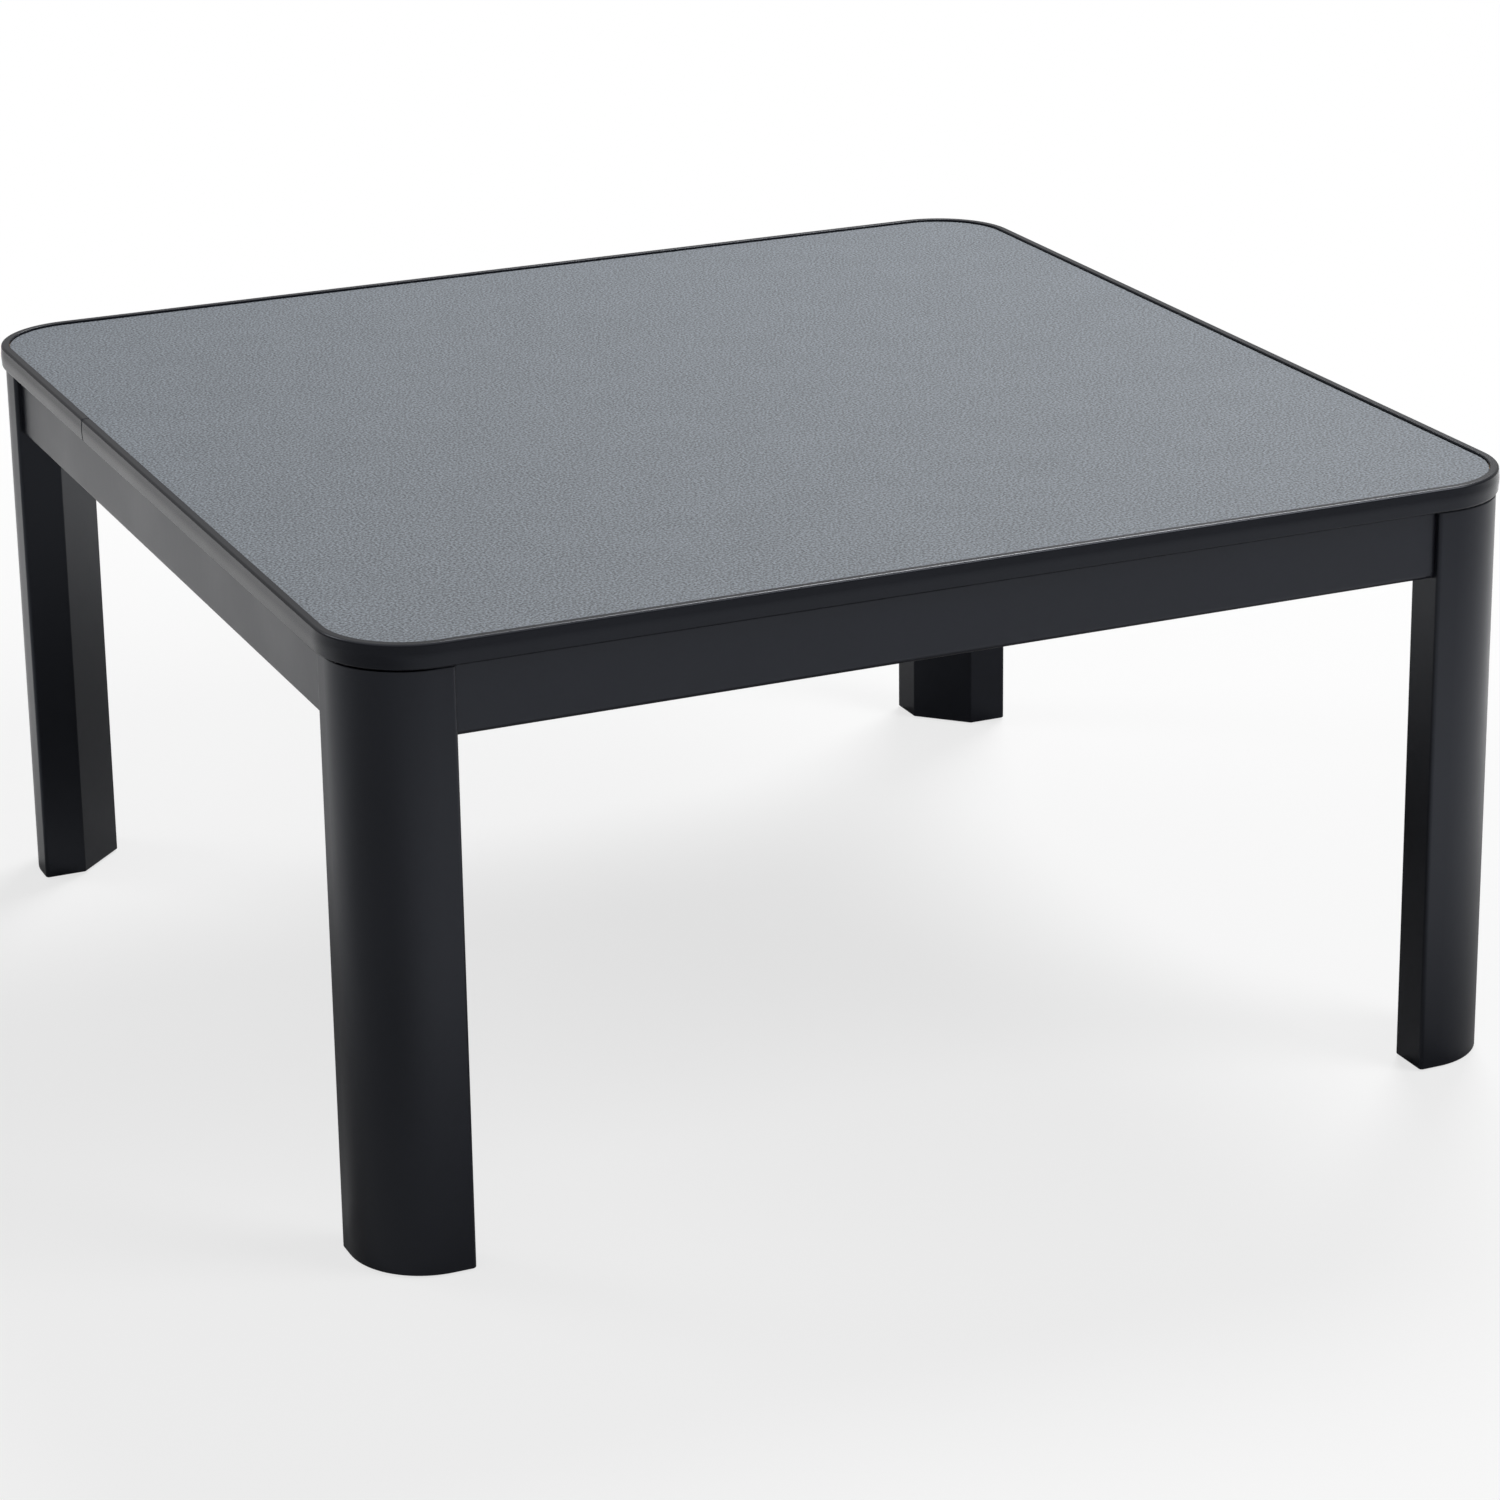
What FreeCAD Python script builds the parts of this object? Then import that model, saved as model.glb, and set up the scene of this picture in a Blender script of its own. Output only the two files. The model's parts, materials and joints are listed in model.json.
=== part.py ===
import FreeCAD, Part
import math
import os

from FreeCAD import Vector

# A square low table with a lift-off top and a heater under its middle, in millimetres.
# +Z is up, the origin is on the floor under the middle, the front is -Y and the left is -X.

# Sizes of the whole table
BOARD_SIDE = 750.0
TABLE_HEIGHT = 378.0
BOARD_THICK = 12.0
REST_PAD_THICK = 2.5

# The lift-off board: core, two laminate sheets and a moulding with a barb in the core's groove.
# The moulding stands proud of both sheets as a low rim.
MOULD_FACE = 5.8
MOULD_RIM_RISE = 1.5
MOULD_RIM_ROUND = 0.4
MOULD_CORNER_RADIUS = 56.0
MOULD_EDGE_ROUND = 3.8
MOULD_CROWN = 0.5
MOULD_CROWN_RADIUS = 30.0
LAMINATE_THICK = 0.8
LAMINATE_SET_IN = 0.5
BARB_LENGTH = 7.0
BARB_THICK = 2.2
BARB_TOOTH = 0.5
GROOVE_CLEARANCE = 0.3
SEAM_PLACE = 133.0
SEAM_GAP = 0.4

# Legs of five-sided section with a quarter-round outer corner
LEG_SET_IN = 4.0
LEG_FACE = 60.0
LEG_WALL = 28.0
LEG_OUTER_RADIUS = 46.0
LEG_FACE_ROUND = 2.5
LEG_INNER_ROUND = 1.5
LEG_TOP_ROUND = 0.8
GLIDE_RADIUS = 12.0
GLIDE_THICK = 3.0
GLIDE_PROUD = 1.0
GLIDE_NAIL_RADIUS = 1.2
GLIDE_NAIL_LENGTH = 12.0
GLIDE_CLEARANCE = 0.1
REST_PAD_RADIUS = 10.0

# Aprons between the legs
APRON_SET_BACK = 4.5
APRON_THICK = 18.0
APRON_HEIGHT = 42.5
APRON_LOWER_ROUND = 3.5
APRON_UPPER_ROUND = 1.5

# Bent corner brackets, each hooked into the aprons' slots and screwed to them
BRACKET_SHEET = 2.5
BRACKET_HEIGHT = 34.0
BRACKET_FLANGE = 34.0
BRACKET_LIP = 6.0
BRACKET_GAP_TO_LEG = 3.0
SLOT_CLEARANCE = 0.3
BRACKET_SCREW_SPACING = 18.0
BRACKET_SCREW_RADIUS = 1.9
BRACKET_SCREW_LENGTH = 14.0
SCREW_HOLE_CLEARANCE = 0.4
SCREW_PILOT_CLEARANCE = 0.05

# Hanger bolts, washers and wing nuts that hold the legs
BOLT_RADIUS = 4.0
BOLT_IN_LEG = 34.0
BOLT_PAST_NUT = 5.0
BOLT_END_CHAMFER = 0.8
BOLT_LEG_CLEARANCE = 0.05
BOLT_HOLE_CLEARANCE = 0.6
WASHER_RADIUS = 9.0
WASHER_THICK = 1.6
WASHER_CLEARANCE = 0.4
NUT_RUNNING_CLEARANCE = 0.08
NUT_HUB_RADIUS = 8.0
NUT_HUB_TIP_RADIUS = 6.5
NUT_HUB_LENGTH = 9.0
NUT_WING_SPAN = 16.0
NUT_WING_RISE = 8.0
NUT_WING_THICK = 3.2
NUT_WING_ROUND = 4.0
NUT_WING_FOOT = 2.0

# Rails across the frame that carry the heater
RAIL_WIDTH = 30.0
RAIL_HEIGHT = 20.0
RAIL_GAP = 270.0
RAIL_EDGE_ROUND = 1.5
DOWEL_RADIUS = 4.0
DOWEL_SPACING = 14.0
DOWEL_IN_SIDE = 12.0
DOWEL_IN_RAIL = 18.0
DOWEL_SIDE_CLEARANCE = 0.05
DOWEL_CHAMFER = 0.8

# Heater casing: a pressed pan with a flange under the rails
CASING_SHEET = 1.0
CASING_SIDE = 240.0
CASING_RISE = 14.0
CASING_CORNER_RADIUS = 22.0
CASING_EDGE_ROUND = 3.0
CASING_FLANGE = 30.0
CASING_BEAD_RISE = 1.5
CASING_BEAD_WIDTH = 12.0
CASING_BEAD_MARGIN = 30.0
CASING_VENT_WIDTH = 4.0
CASING_VENT_LENGTH = 36.0
CASING_VENT_PITCH = 12.0
CASING_VENTS = 5
INSULATION_THICK = 3.0
INSULATION_MARGIN = 2.0

# Reflector, a polished dish with sloping sides
REFLECTOR_SHEET = 0.8
REFLECTOR_DEPTH = 9.0
REFLECTOR_MOUTH_SIDE = 236.0
REFLECTOR_SLOPE_RUN = 24.0
REFLECTOR_CORNER_RADIUS = 24.0
HEATER_LIP = 17.0

# Guard, a punched dish below the tube
GUARD_SHEET = 0.8
GUARD_DEPTH = 33.0
GUARD_DRAFT = 8.0
GUARD_CORNER_RADIUS = 26.0
GUARD_HOLE = 9.0
GUARD_PITCH = 13.0
GUARD_HOLES = 15
GUARD_SIDE_SLOT = 5.0
GUARD_SIDE_SLOT_HEIGHT = 13.0
GUARD_SIDE_SLOT_RISE = 9.0
GUARD_SIDE_SLOTS = 9
GUARD_SIDE_PITCH = 18.0
GUARD_SCREW_SPACING = 160.0
GUARD_SCREW_RADIUS = 1.5
GUARD_SCREW_LENGTH = 5.0
HEATER_SCREW_SPACING = 200.0
HEATER_SCREW_RADIUS = 2.0
HEATER_SCREW_LENGTH = 15.0

# Bent quartz tube, its winding, end holders and bow clip
TUBE_RADIUS = 5.5
TUBE_WALL = 1.1
TUBE_BEND_RADIUS = 55.0
TUBE_DROP = 14.0
TUBE_END_MARGIN = 14.0
TUBE_BOW_MARGIN = 5.0
WINDING_RADIUS = 2.8
HOLDER_LENGTH = 18.0
HOLDER_WIDTH = 22.0
HOLDER_BELOW = 9.0
HOLDER_ROUND = 3.0
HOLDER_OVERLAP = 10.0
HOLDER_CLEARANCE = 0.2
TERMINAL_RADIUS = 1.6
TERMINAL_LENGTH = 5.0
CLIP_SHEET = 1.0
CLIP_WIDTH = 8.0
CLIP_CLEARANCE = 0.2
CLIP_FOOT = 12.0

# Inlet at the back of the heater, in a turned-down tab of the casing
INLET_TAB_WIDTH = 54.0
INLET_TAB_MARGIN = 5.0
INLET_BODY_WIDTH = 34.0
INLET_BODY_HEIGHT = 18.0
INLET_BODY_LENGTH = 22.0
INLET_BODY_ROUND = 4.0
INLET_BEZEL_MARGIN = 3.5
INLET_BEZEL_THICK = 2.5
INLET_WALL = 2.5
INLET_CAVITY_DEPTH = 18.0
INLET_CLEARANCE = 0.2
INLET_PIN_RADIUS = 2.0
INLET_PIN_SPACING = 13.0
INLET_PIN_SET_BACK = 3.0
INLET_TERMINAL_LENGTH = 4.0

# Leads inside the heater, with the thermostat and the thermal fuse in line
LEAD_RADIUS = 1.4
LEAD_BEND = 4.0
LEAD_CLEARANCE = 1.5
LANE_SET_IN = 28.0
LANE_OUTSIDE_POST = 5.0
LANE_SPACING = 6.0
THERMOSTAT_LENGTH = 24.0
THERMOSTAT_WIDTH = 10.0
THERMOSTAT_HEIGHT = 9.0
THERMOSTAT_ROUND = 1.5
THERMOSTAT_DISC_RADIUS = 4.0
THERMOSTAT_DISC_RISE = 1.5
THERMOSTAT_BRACKET_SHEET = 1.0
THERMOSTAT_BRACKET_WIDTH = 8.0
THERMOSTAT_BRACKET_FOOT = 12.0
FUSE_LENGTH = 14.0
FUSE_RADIUS = 2.4
FUSE_PLACE = -45.0

# Shares of a screw's radius and head, the room past every blind end, and one overrun for all cuts
HEAD_RADIUS_SHARE = 2.0
HEAD_THICK_SHARE = 1.15
HEAD_CROWN_SHARE = 0.75
DRIVE_WIDTH_SHARE = 0.42
DRIVE_DEPTH_SHARE = 0.55
END_CLEARANCE = 0.5
OVERRUN = 2.0

# Heights worked out from the sizes above
BOARD_TOP = TABLE_HEIGHT - MOULD_RIM_RISE
BOARD_BOTTOM = BOARD_TOP - BOARD_THICK
BOARD_MIDDLE = BOARD_TOP - BOARD_THICK / 2
RIM_BOTTOM = BOARD_BOTTOM - MOULD_RIM_RISE
FRAME_TOP = BOARD_BOTTOM - REST_PAD_THICK
LEG_BOTTOM = GLIDE_PROUD
APRON_BOTTOM = FRAME_TOP - APRON_HEIGHT
APRON_MIDDLE = FRAME_TOP - APRON_HEIGHT / 2
RAIL_BOTTOM = FRAME_TOP - RAIL_HEIGHT
RAIL_MIDDLE = FRAME_TOP - RAIL_HEIGHT / 2
FLANGE_BOTTOM = RAIL_BOTTOM - CASING_SHEET
CASING_TOP = RAIL_BOTTOM + CASING_RISE
LIP_BOTTOM = FLANGE_BOTTOM - REFLECTOR_SHEET
GUARD_FLANGE_BOTTOM = LIP_BOTTOM - GUARD_SHEET
GUARD_BOTTOM = GUARD_FLANGE_BOTTOM - GUARD_DEPTH
REFLECTOR_TOP = FLANGE_BOTTOM + REFLECTOR_DEPTH
REFLECTOR_FACE = REFLECTOR_TOP - REFLECTOR_SHEET
TUBE_MIDDLE = LIP_BOTTOM - TUBE_DROP

# Places worked out in plan
CORE_HALF = BOARD_SIDE / 2 - MOULD_FACE
CORE_RADIUS = MOULD_CORNER_RADIUS - MOULD_FACE
LEG_OUTER = BOARD_SIDE / 2 - LEG_SET_IN
LEG_END = LEG_OUTER - LEG_FACE
LEG_INNER = LEG_OUTER - LEG_WALL
APRON_OUTER = LEG_OUTER - APRON_SET_BACK
APRON_INNER = APRON_OUTER - APRON_THICK
RAIL_CENTRE = (RAIL_GAP + RAIL_WIDTH) / 2
CASING_HALF = CASING_SIDE / 2
FLANGE_HALF = CASING_HALF + CASING_FLANGE
MOUTH_HALF = REFLECTOR_MOUTH_SIDE / 2
REFLECTOR_FLAT_HALF = MOUTH_HALF - REFLECTOR_SLOPE_RUN
TUBE_LEG_START = TUBE_END_MARGIN - REFLECTOR_FLAT_HALF
TUBE_LEG_END = REFLECTOR_FLAT_HALF - TUBE_BOW_MARGIN - TUBE_BEND_RADIUS
LIP_HALF = MOUTH_HALF + HEATER_LIP
GUARD_SCREW_PLACE = (CASING_HALF + LIP_HALF) / 2
HEATER_SCREW_PLACE = (RAIL_GAP / 2 + FLANGE_HALF) / 2
TAB_FACE = FLANGE_HALF
INLET_MIDDLE = TUBE_MIDDLE
TAB_BOTTOM = INLET_MIDDLE - INLET_BODY_HEIGHT / 2 - INLET_TAB_MARGIN
INLET_BACK = TAB_FACE - INLET_BODY_LENGTH

# Along a corner's diagonal, distances are measured from the table's axis
LEG_DIAGONAL = (LEG_END + LEG_INNER) / math.sqrt(2)
BRACKET_OUTER = LEG_DIAGONAL - BRACKET_GAP_TO_LEG
BRACKET_INNER = BRACKET_OUTER - BRACKET_SHEET
NUT_SEAT = BRACKET_INNER - WASHER_THICK
NUT_END = NUT_SEAT - NUT_HUB_LENGTH
CORNERS = {"back_right": 0, "back_left": 1, "front_left": 2, "front_right": 3}
SIDES = {"back": 0, "left": 1, "front": 2, "right": 3}


def outline(corners):
    """Closed wire through (x, y, radius) corners, each rounded by its own radius."""
    count = len(corners)
    starts = []
    middles = []
    ends = []
    for index in range(count):
        x, y, radius = corners[index]
        here = Vector(x, y, 0)
        before = Vector(corners[index - 1][0], corners[index - 1][1], 0)
        after = Vector(corners[(index + 1) % count][0], corners[(index + 1) % count][1], 0)
        back = (before - here).normalize()
        ahead = (after - here).normalize()
        half_angle = back.getAngle(ahead) / 2
        run = radius / math.tan(half_angle)
        inward = (back + ahead).normalize()
        starts.append(here + back * run)
        ends.append(here + ahead * run)
        middles.append(here + inward * (radius / math.sin(half_angle) - radius))
    edges = []
    for index in range(count):
        if corners[index][2] > 0:
            edges.append(Part.Arc(starts[index], middles[index], ends[index]).toShape())
        following = (index + 1) % count
        if ends[index].distanceToPoint(starts[following]) > Part.Precision.confusion():
            edges.append(Part.makeLine(ends[index], starts[following]))
    return Part.Wire(edges)


def prism(corners, bottom, top):
    """Upright solid over a rounded outline."""
    face = Part.Face(outline(corners))
    face.translate(Vector(0, 0, bottom))
    return face.extrude(Vector(0, 0, top - bottom))


def square(half, radius):
    """Corners of a square round the axis, all with one radius."""
    return rectangle(-half, half, -half, half, radius)


def rectangle(low_x, high_x, low_y, high_y, radius):
    """Corners of a rectangle, all with one radius."""
    places = [(high_x, high_y), (low_x, high_y), (low_x, low_y), (high_x, low_y)]
    return [(x, y, radius) for x, y in places]


def along_x(corners, low, high):
    """Solid along X whose section's corners are given as (y, z, radius)."""
    solid = prism(corners, low, high)
    solid.rotate(Vector(0, 0, 0), Vector(1, 1, 1), 120)
    return solid


def block(low_x, high_x, low_y, high_y, low_z, high_z):
    """Plain block between its limits on each axis."""
    return Part.makeBox(high_x - low_x, high_y - low_y, high_z - low_z, Vector(low_x, low_y, low_z))


def rod(radius, start, end):
    """Round rod between two points."""
    axis = end - start
    return Part.makeCylinder(radius, axis.Length, start, axis)


def turned(shape, quarter):
    """Copy turned round the table's axis by quarter turns."""
    copy = shape.copy()
    copy.rotate(Vector(0, 0, 0), Vector(0, 0, 1), 90 * quarter)
    return copy


def ring_of(shape):
    """Four copies of a shape, one for each quarter turn."""
    return [turned(shape, quarter) for quarter in range(4)]


def joined(shapes):
    """One solid from touching shapes, with its seams cleaned away."""
    return shapes[0].multiFuse(shapes[1:]).removeSplitter()


def diagonal(distance, height, across=0):
    """Point of the back right corner's diagonal plane, at a distance from the table's axis."""
    share = math.sqrt(0.5)
    return Vector((distance - across) * share, (distance + across) * share, height)


def save(name, shape):
    """Write one named piece."""
    shape.exportStep(f"parts/{name}.step")


def rounded_plate(half, radius, bottom, top, edge_round):
    """Square plate whose upper edge loop is rounded."""
    plate = prism(square(half, radius), bottom, top)
    loop = [edge for edge in plate.Edges if edge.BoundBox.ZMin > top - Part.Precision.confusion()]
    return plate.makeFillet(edge_round, loop)


def dish(top_half, top_radius, top, bottom_half, bottom_radius, bottom):
    """Solid that runs evenly from one rounded square to another."""
    upper = outline(square(top_half, top_radius))
    upper.translate(Vector(0, 0, top))
    lower = outline(square(bottom_half, bottom_radius))
    lower.translate(Vector(0, 0, bottom))
    return Part.makeLoft([lower, upper], True, True)


def pan_screw(radius, length, tip, direction):
    """Slotted screw, its head's underside at the tip point and its shank along direction."""
    head_radius = radius * HEAD_RADIUS_SHARE
    head_thick = radius * HEAD_THICK_SHARE
    shank = Part.makeCylinder(radius, length - radius)
    point = Part.makeCone(radius, 0, radius, Vector(0, 0, length - radius))
    crown_radius = head_radius * HEAD_CROWN_SHARE
    head = Part.makeCone(crown_radius, head_radius, head_thick, Vector(0, 0, -head_thick))
    screw = joined([shank, point, head])
    half = radius * DRIVE_WIDTH_SHARE / 2
    low = -head_thick - OVERRUN
    depth = head_thick * DRIVE_DEPTH_SHARE
    slot = block(-head_radius, head_radius, -half, half, low, depth - head_thick)
    screw = screw.cut(slot)
    screw.Placement = FreeCAD.Placement(tip, FreeCAD.Rotation(Vector(0, 0, 1), direction))
    return screw


# Lift-off board


def moulding_profile():
    """Face of the moulding's section, across the right side of the board at its middle."""
    half = BOARD_THICK / 2 + MOULD_RIM_RISE
    neck = BARB_THICK / 2
    tooth = neck + BARB_TOOTH
    crown = MOULD_FACE - MOULD_CROWN
    slope = math.atan(MOULD_CROWN / half)
    peak = MOULD_FACE + MOULD_CROWN_RADIUS * (1 / math.cos(slope) - 1)
    points = [
        (0, half, MOULD_RIM_ROUND),
        (0, neck, 0),
        (-BARB_LENGTH / 2, neck, 0),
        (-BARB_LENGTH / 2, tooth, 0),
        (-BARB_LENGTH, neck, 0),
        (-BARB_LENGTH, -neck, 0),
        (-BARB_LENGTH / 2, -tooth, 0),
        (-BARB_LENGTH / 2, -neck, 0),
        (0, -neck, 0),
        (0, -half, MOULD_RIM_ROUND),
        (crown, -half, MOULD_EDGE_ROUND),
        (peak, 0, MOULD_CROWN_RADIUS),
        (crown, half, MOULD_EDGE_ROUND),
    ]
    face = Part.Face(outline(points))
    face.rotate(Vector(0, 0, 0), Vector(1, 0, 0), 90)
    face.translate(Vector(CORE_HALF, 0, BOARD_MIDDLE))
    return face


def edge_moulding():
    """Moulding in four straight runs and four turned corners, open at its butt seam."""
    straight = CORE_HALF - CORE_RADIUS
    profile = moulding_profile()
    profile.translate(Vector(0, -straight, 0))
    run = profile.extrude(Vector(0, 2 * straight, 0))
    profile.translate(Vector(0, 2 * straight, 0))
    corner = profile.revolve(Vector(straight, straight, 0), Vector(0, 0, 1), 90)
    ring = joined(ring_of(run) + ring_of(corner))
    inner = CORE_HALF - BARB_LENGTH - OVERRUN
    low = SEAM_PLACE - SEAM_GAP / 2
    high = SEAM_PLACE + SEAM_GAP / 2
    seam = block(-BOARD_SIDE / 2 - OVERRUN, -inner, low, high, RIM_BOTTOM - OVERRUN, TABLE_HEIGHT + OVERRUN)
    return ring.cut(seam)


def board_core():
    """Core board with the moulding's groove all round."""
    core = prism(square(CORE_HALF, CORE_RADIUS), BOARD_BOTTOM + LAMINATE_THICK, BOARD_TOP - LAMINATE_THICK)
    deep = BARB_LENGTH + GROOVE_CLEARANCE
    half = BARB_THICK / 2 + BARB_TOOTH + GROOVE_CLEARANCE
    low = BOARD_MIDDLE - half
    high = BOARD_MIDDLE + half
    outside = prism(square(CORE_HALF + OVERRUN, CORE_RADIUS + OVERRUN), low, high)
    inside = prism(square(CORE_HALF - deep, CORE_RADIUS - deep), low, high)
    return core.cut(outside.cut(inside))


def laminate(bottom):
    """One laminate sheet, a hair inside the moulding so that a fine groove shows."""
    half = CORE_HALF - LAMINATE_SET_IN
    return prism(square(half, CORE_RADIUS - LAMINATE_SET_IN), bottom, bottom + LAMINATE_THICK)


# Legs and what is in them


def leg():
    """Back right leg, bored for its hanger bolt and its glide."""
    section = [
        (LEG_OUTER, LEG_END, LEG_FACE_ROUND),
        (LEG_OUTER, LEG_OUTER, LEG_OUTER_RADIUS),
        (LEG_END, LEG_OUTER, LEG_FACE_ROUND),
        (LEG_END, LEG_INNER, LEG_INNER_ROUND),
        (LEG_INNER, LEG_END, LEG_INNER_ROUND),
    ]
    body = prism(section, LEG_BOTTOM, FRAME_TOP)
    loop = [edge for edge in body.Edges if edge.BoundBox.ZMin > FRAME_TOP - Part.Precision.confusion()]
    body = body.makeFillet(LEG_TOP_ROUND, loop)
    mouth = diagonal(LEG_DIAGONAL - OVERRUN, APRON_MIDDLE)
    end = diagonal(LEG_DIAGONAL + BOLT_IN_LEG + END_CLEARANCE, APRON_MIDDLE)
    body = body.cut(rod(BOLT_RADIUS + BOLT_LEG_CLEARANCE, mouth, end))
    x, y = leg_centre()
    recess = GLIDE_THICK - GLIDE_PROUD
    below = Vector(x, y, LEG_BOTTOM - OVERRUN)
    pocket = rod(GLIDE_RADIUS + GLIDE_CLEARANCE, below, Vector(x, y, LEG_BOTTOM + recess))
    nail_top = LEG_BOTTOM + recess + GLIDE_NAIL_LENGTH + END_CLEARANCE
    nail_hole = rod(GLIDE_NAIL_RADIUS + GLIDE_CLEARANCE, below, Vector(x, y, nail_top))
    return body.cut(pocket.fuse(nail_hole))


def leg_centre():
    """Plan place of the glide and the rest pad, midway through the leg on its diagonal."""
    outside = LEG_OUTER - LEG_OUTER_RADIUS * (1 - math.sqrt(0.5))
    inside = (LEG_END + LEG_INNER) / 2
    middle = (outside + inside) / 2
    return middle, middle


def glides():
    """Four nail-in glides, each a rounded disc with its nail."""
    x, y = leg_centre()
    disc = Part.makeCylinder(GLIDE_RADIUS, GLIDE_THICK, Vector(x, y, 0))
    rim = [edge for edge in disc.Edges if edge.BoundBox.ZMax < GLIDE_THICK / 2]
    disc = disc.makeFillet(GLIDE_PROUD / 2, rim)
    nail_top = Vector(x, y, GLIDE_THICK + GLIDE_NAIL_LENGTH)
    nail = rod(GLIDE_NAIL_RADIUS, Vector(x, y, GLIDE_THICK / 2), nail_top)
    return Part.makeCompound(ring_of(joined([disc, nail])))


def rest_pads():
    """Four thin pads on the leg tops, on which the board lies."""
    x, y = leg_centre()
    pad = Part.makeCylinder(REST_PAD_RADIUS, REST_PAD_THICK, Vector(x, y, FRAME_TOP))
    return Part.makeCompound(ring_of(pad))


# Frame


def bracket_path():
    """Plan points of a corner bracket's outer side, from lip to lip through the corner."""
    reach = BRACKET_OUTER * math.sqrt(2) - APRON_INNER
    tip = reach - BRACKET_FLANGE
    deep = APRON_INNER + BRACKET_LIP
    first = [(tip, deep), (tip, APRON_INNER), (reach, APRON_INNER)]
    second = [(y, x) for x, y in reversed(first)]
    return first + second


def strip(points, thickness):
    """Corners of a bent strip whose left side follows the points, with mitred bends."""
    count = len(points)
    offset = []
    for index in range(count):
        here = Vector(points[index][0], points[index][1], 0)
        directions = []
        if index > 0:
            before = Vector(points[index - 1][0], points[index - 1][1], 0)
            directions.append((here - before).normalize())
        if index < count - 1:
            after = Vector(points[index + 1][0], points[index + 1][1], 0)
            directions.append((after - here).normalize())
        normals = [Vector(way.y, -way.x, 0) for way in directions]
        middle = normals[0] + normals[-1]
        middle.normalize()
        offset.append(here + middle * (thickness / middle.dot(normals[0])))
    return [(x, y, 0) for x, y in points] + [(spot.x, spot.y, 0) for spot in reversed(offset)]


def bracket_screw_places():
    """Head places and driving directions of one bracket's four screws."""
    reach = BRACKET_OUTER * math.sqrt(2) - APRON_INNER
    middle = reach - BRACKET_FLANGE / 2
    seat = APRON_INNER - BRACKET_SHEET
    places = []
    for rise in (-BRACKET_SCREW_SPACING / 2, BRACKET_SCREW_SPACING / 2):
        places.append((Vector(middle, seat, APRON_MIDDLE + rise), Vector(0, 1, 0)))
        places.append((Vector(seat, middle, APRON_MIDDLE + rise), Vector(1, 0, 0)))
    return places


def corner_bracket():
    """Back right corner bracket with its bolt hole and screw holes."""
    low = APRON_MIDDLE - BRACKET_HEIGHT / 2
    high = APRON_MIDDLE + BRACKET_HEIGHT / 2
    plate = prism(strip(bracket_path(), BRACKET_SHEET), low, high)
    start = diagonal(BRACKET_INNER - OVERRUN, APRON_MIDDLE)
    end = diagonal(BRACKET_OUTER + OVERRUN, APRON_MIDDLE)
    cuts = [rod(BOLT_RADIUS + BOLT_HOLE_CLEARANCE, start, end)]
    for place, way in bracket_screw_places():
        end = place + way * (BRACKET_SHEET + OVERRUN)
        cuts.append(rod(BRACKET_SCREW_RADIUS + SCREW_HOLE_CLEARANCE, place - way * OVERRUN, end))
    return plate.cut(cuts)


def bracket_screws():
    """All the screws that hold the four brackets to the aprons."""
    screws = []
    for place, way in bracket_screw_places():
        screws.append(pan_screw(BRACKET_SCREW_RADIUS, BRACKET_SCREW_LENGTH, place, way))
    return Part.makeCompound([copy for screw in screws for copy in ring_of(screw)])


def dowel_rises():
    """Offsets of the two dowels of one joint across the rail."""
    return (-DOWEL_SPACING / 2, DOWEL_SPACING / 2)


def dowel(start, way, radius, spare):
    """Dowel or its hole, from a joint face inward on both sides of the face."""
    return rod(radius, start - way * (DOWEL_IN_RAIL + spare), start + way * (DOWEL_IN_SIDE + spare))


def long_rail_joints():
    """Joint points of both long rails on the back apron's inner face."""
    places = []
    for side in (-1, 1):
        for rise in dowel_rises():
            places.append(Vector(side * RAIL_CENTRE + rise, APRON_INNER, RAIL_MIDDLE))
    return places


def cross_rail_joints():
    """Joint points of both cross rails on the right long rail's inner side."""
    places = []
    for side in (-1, 1):
        for rise in dowel_rises():
            places.append(Vector(RAIL_GAP / 2, side * RAIL_CENTRE + rise, RAIL_MIDDLE))
    return places


def all_dowels(radius, spare):
    """Every dowel of the lattice, or every hole for them when spare is given."""
    shapes = []
    for place in long_rail_joints():
        pin = dowel(place, Vector(0, 1, 0), radius, spare)
        shapes.append(pin)
        shapes.append(turned(pin, 2))
    for place in cross_rail_joints():
        pin = dowel(place, Vector(1, 0, 0), radius, spare)
        shapes.append(pin)
        shapes.append(turned(pin, 2))
    return shapes


def dowels():
    """The chamfered dowels themselves."""
    pins = []
    for pin in all_dowels(DOWEL_RADIUS, 0):
        circles = [edge for edge in pin.Edges if len(edge.Vertexes) == 1]
        pins.append(pin.makeChamfer(DOWEL_CHAMFER, circles))
    return Part.makeCompound(pins)


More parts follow.
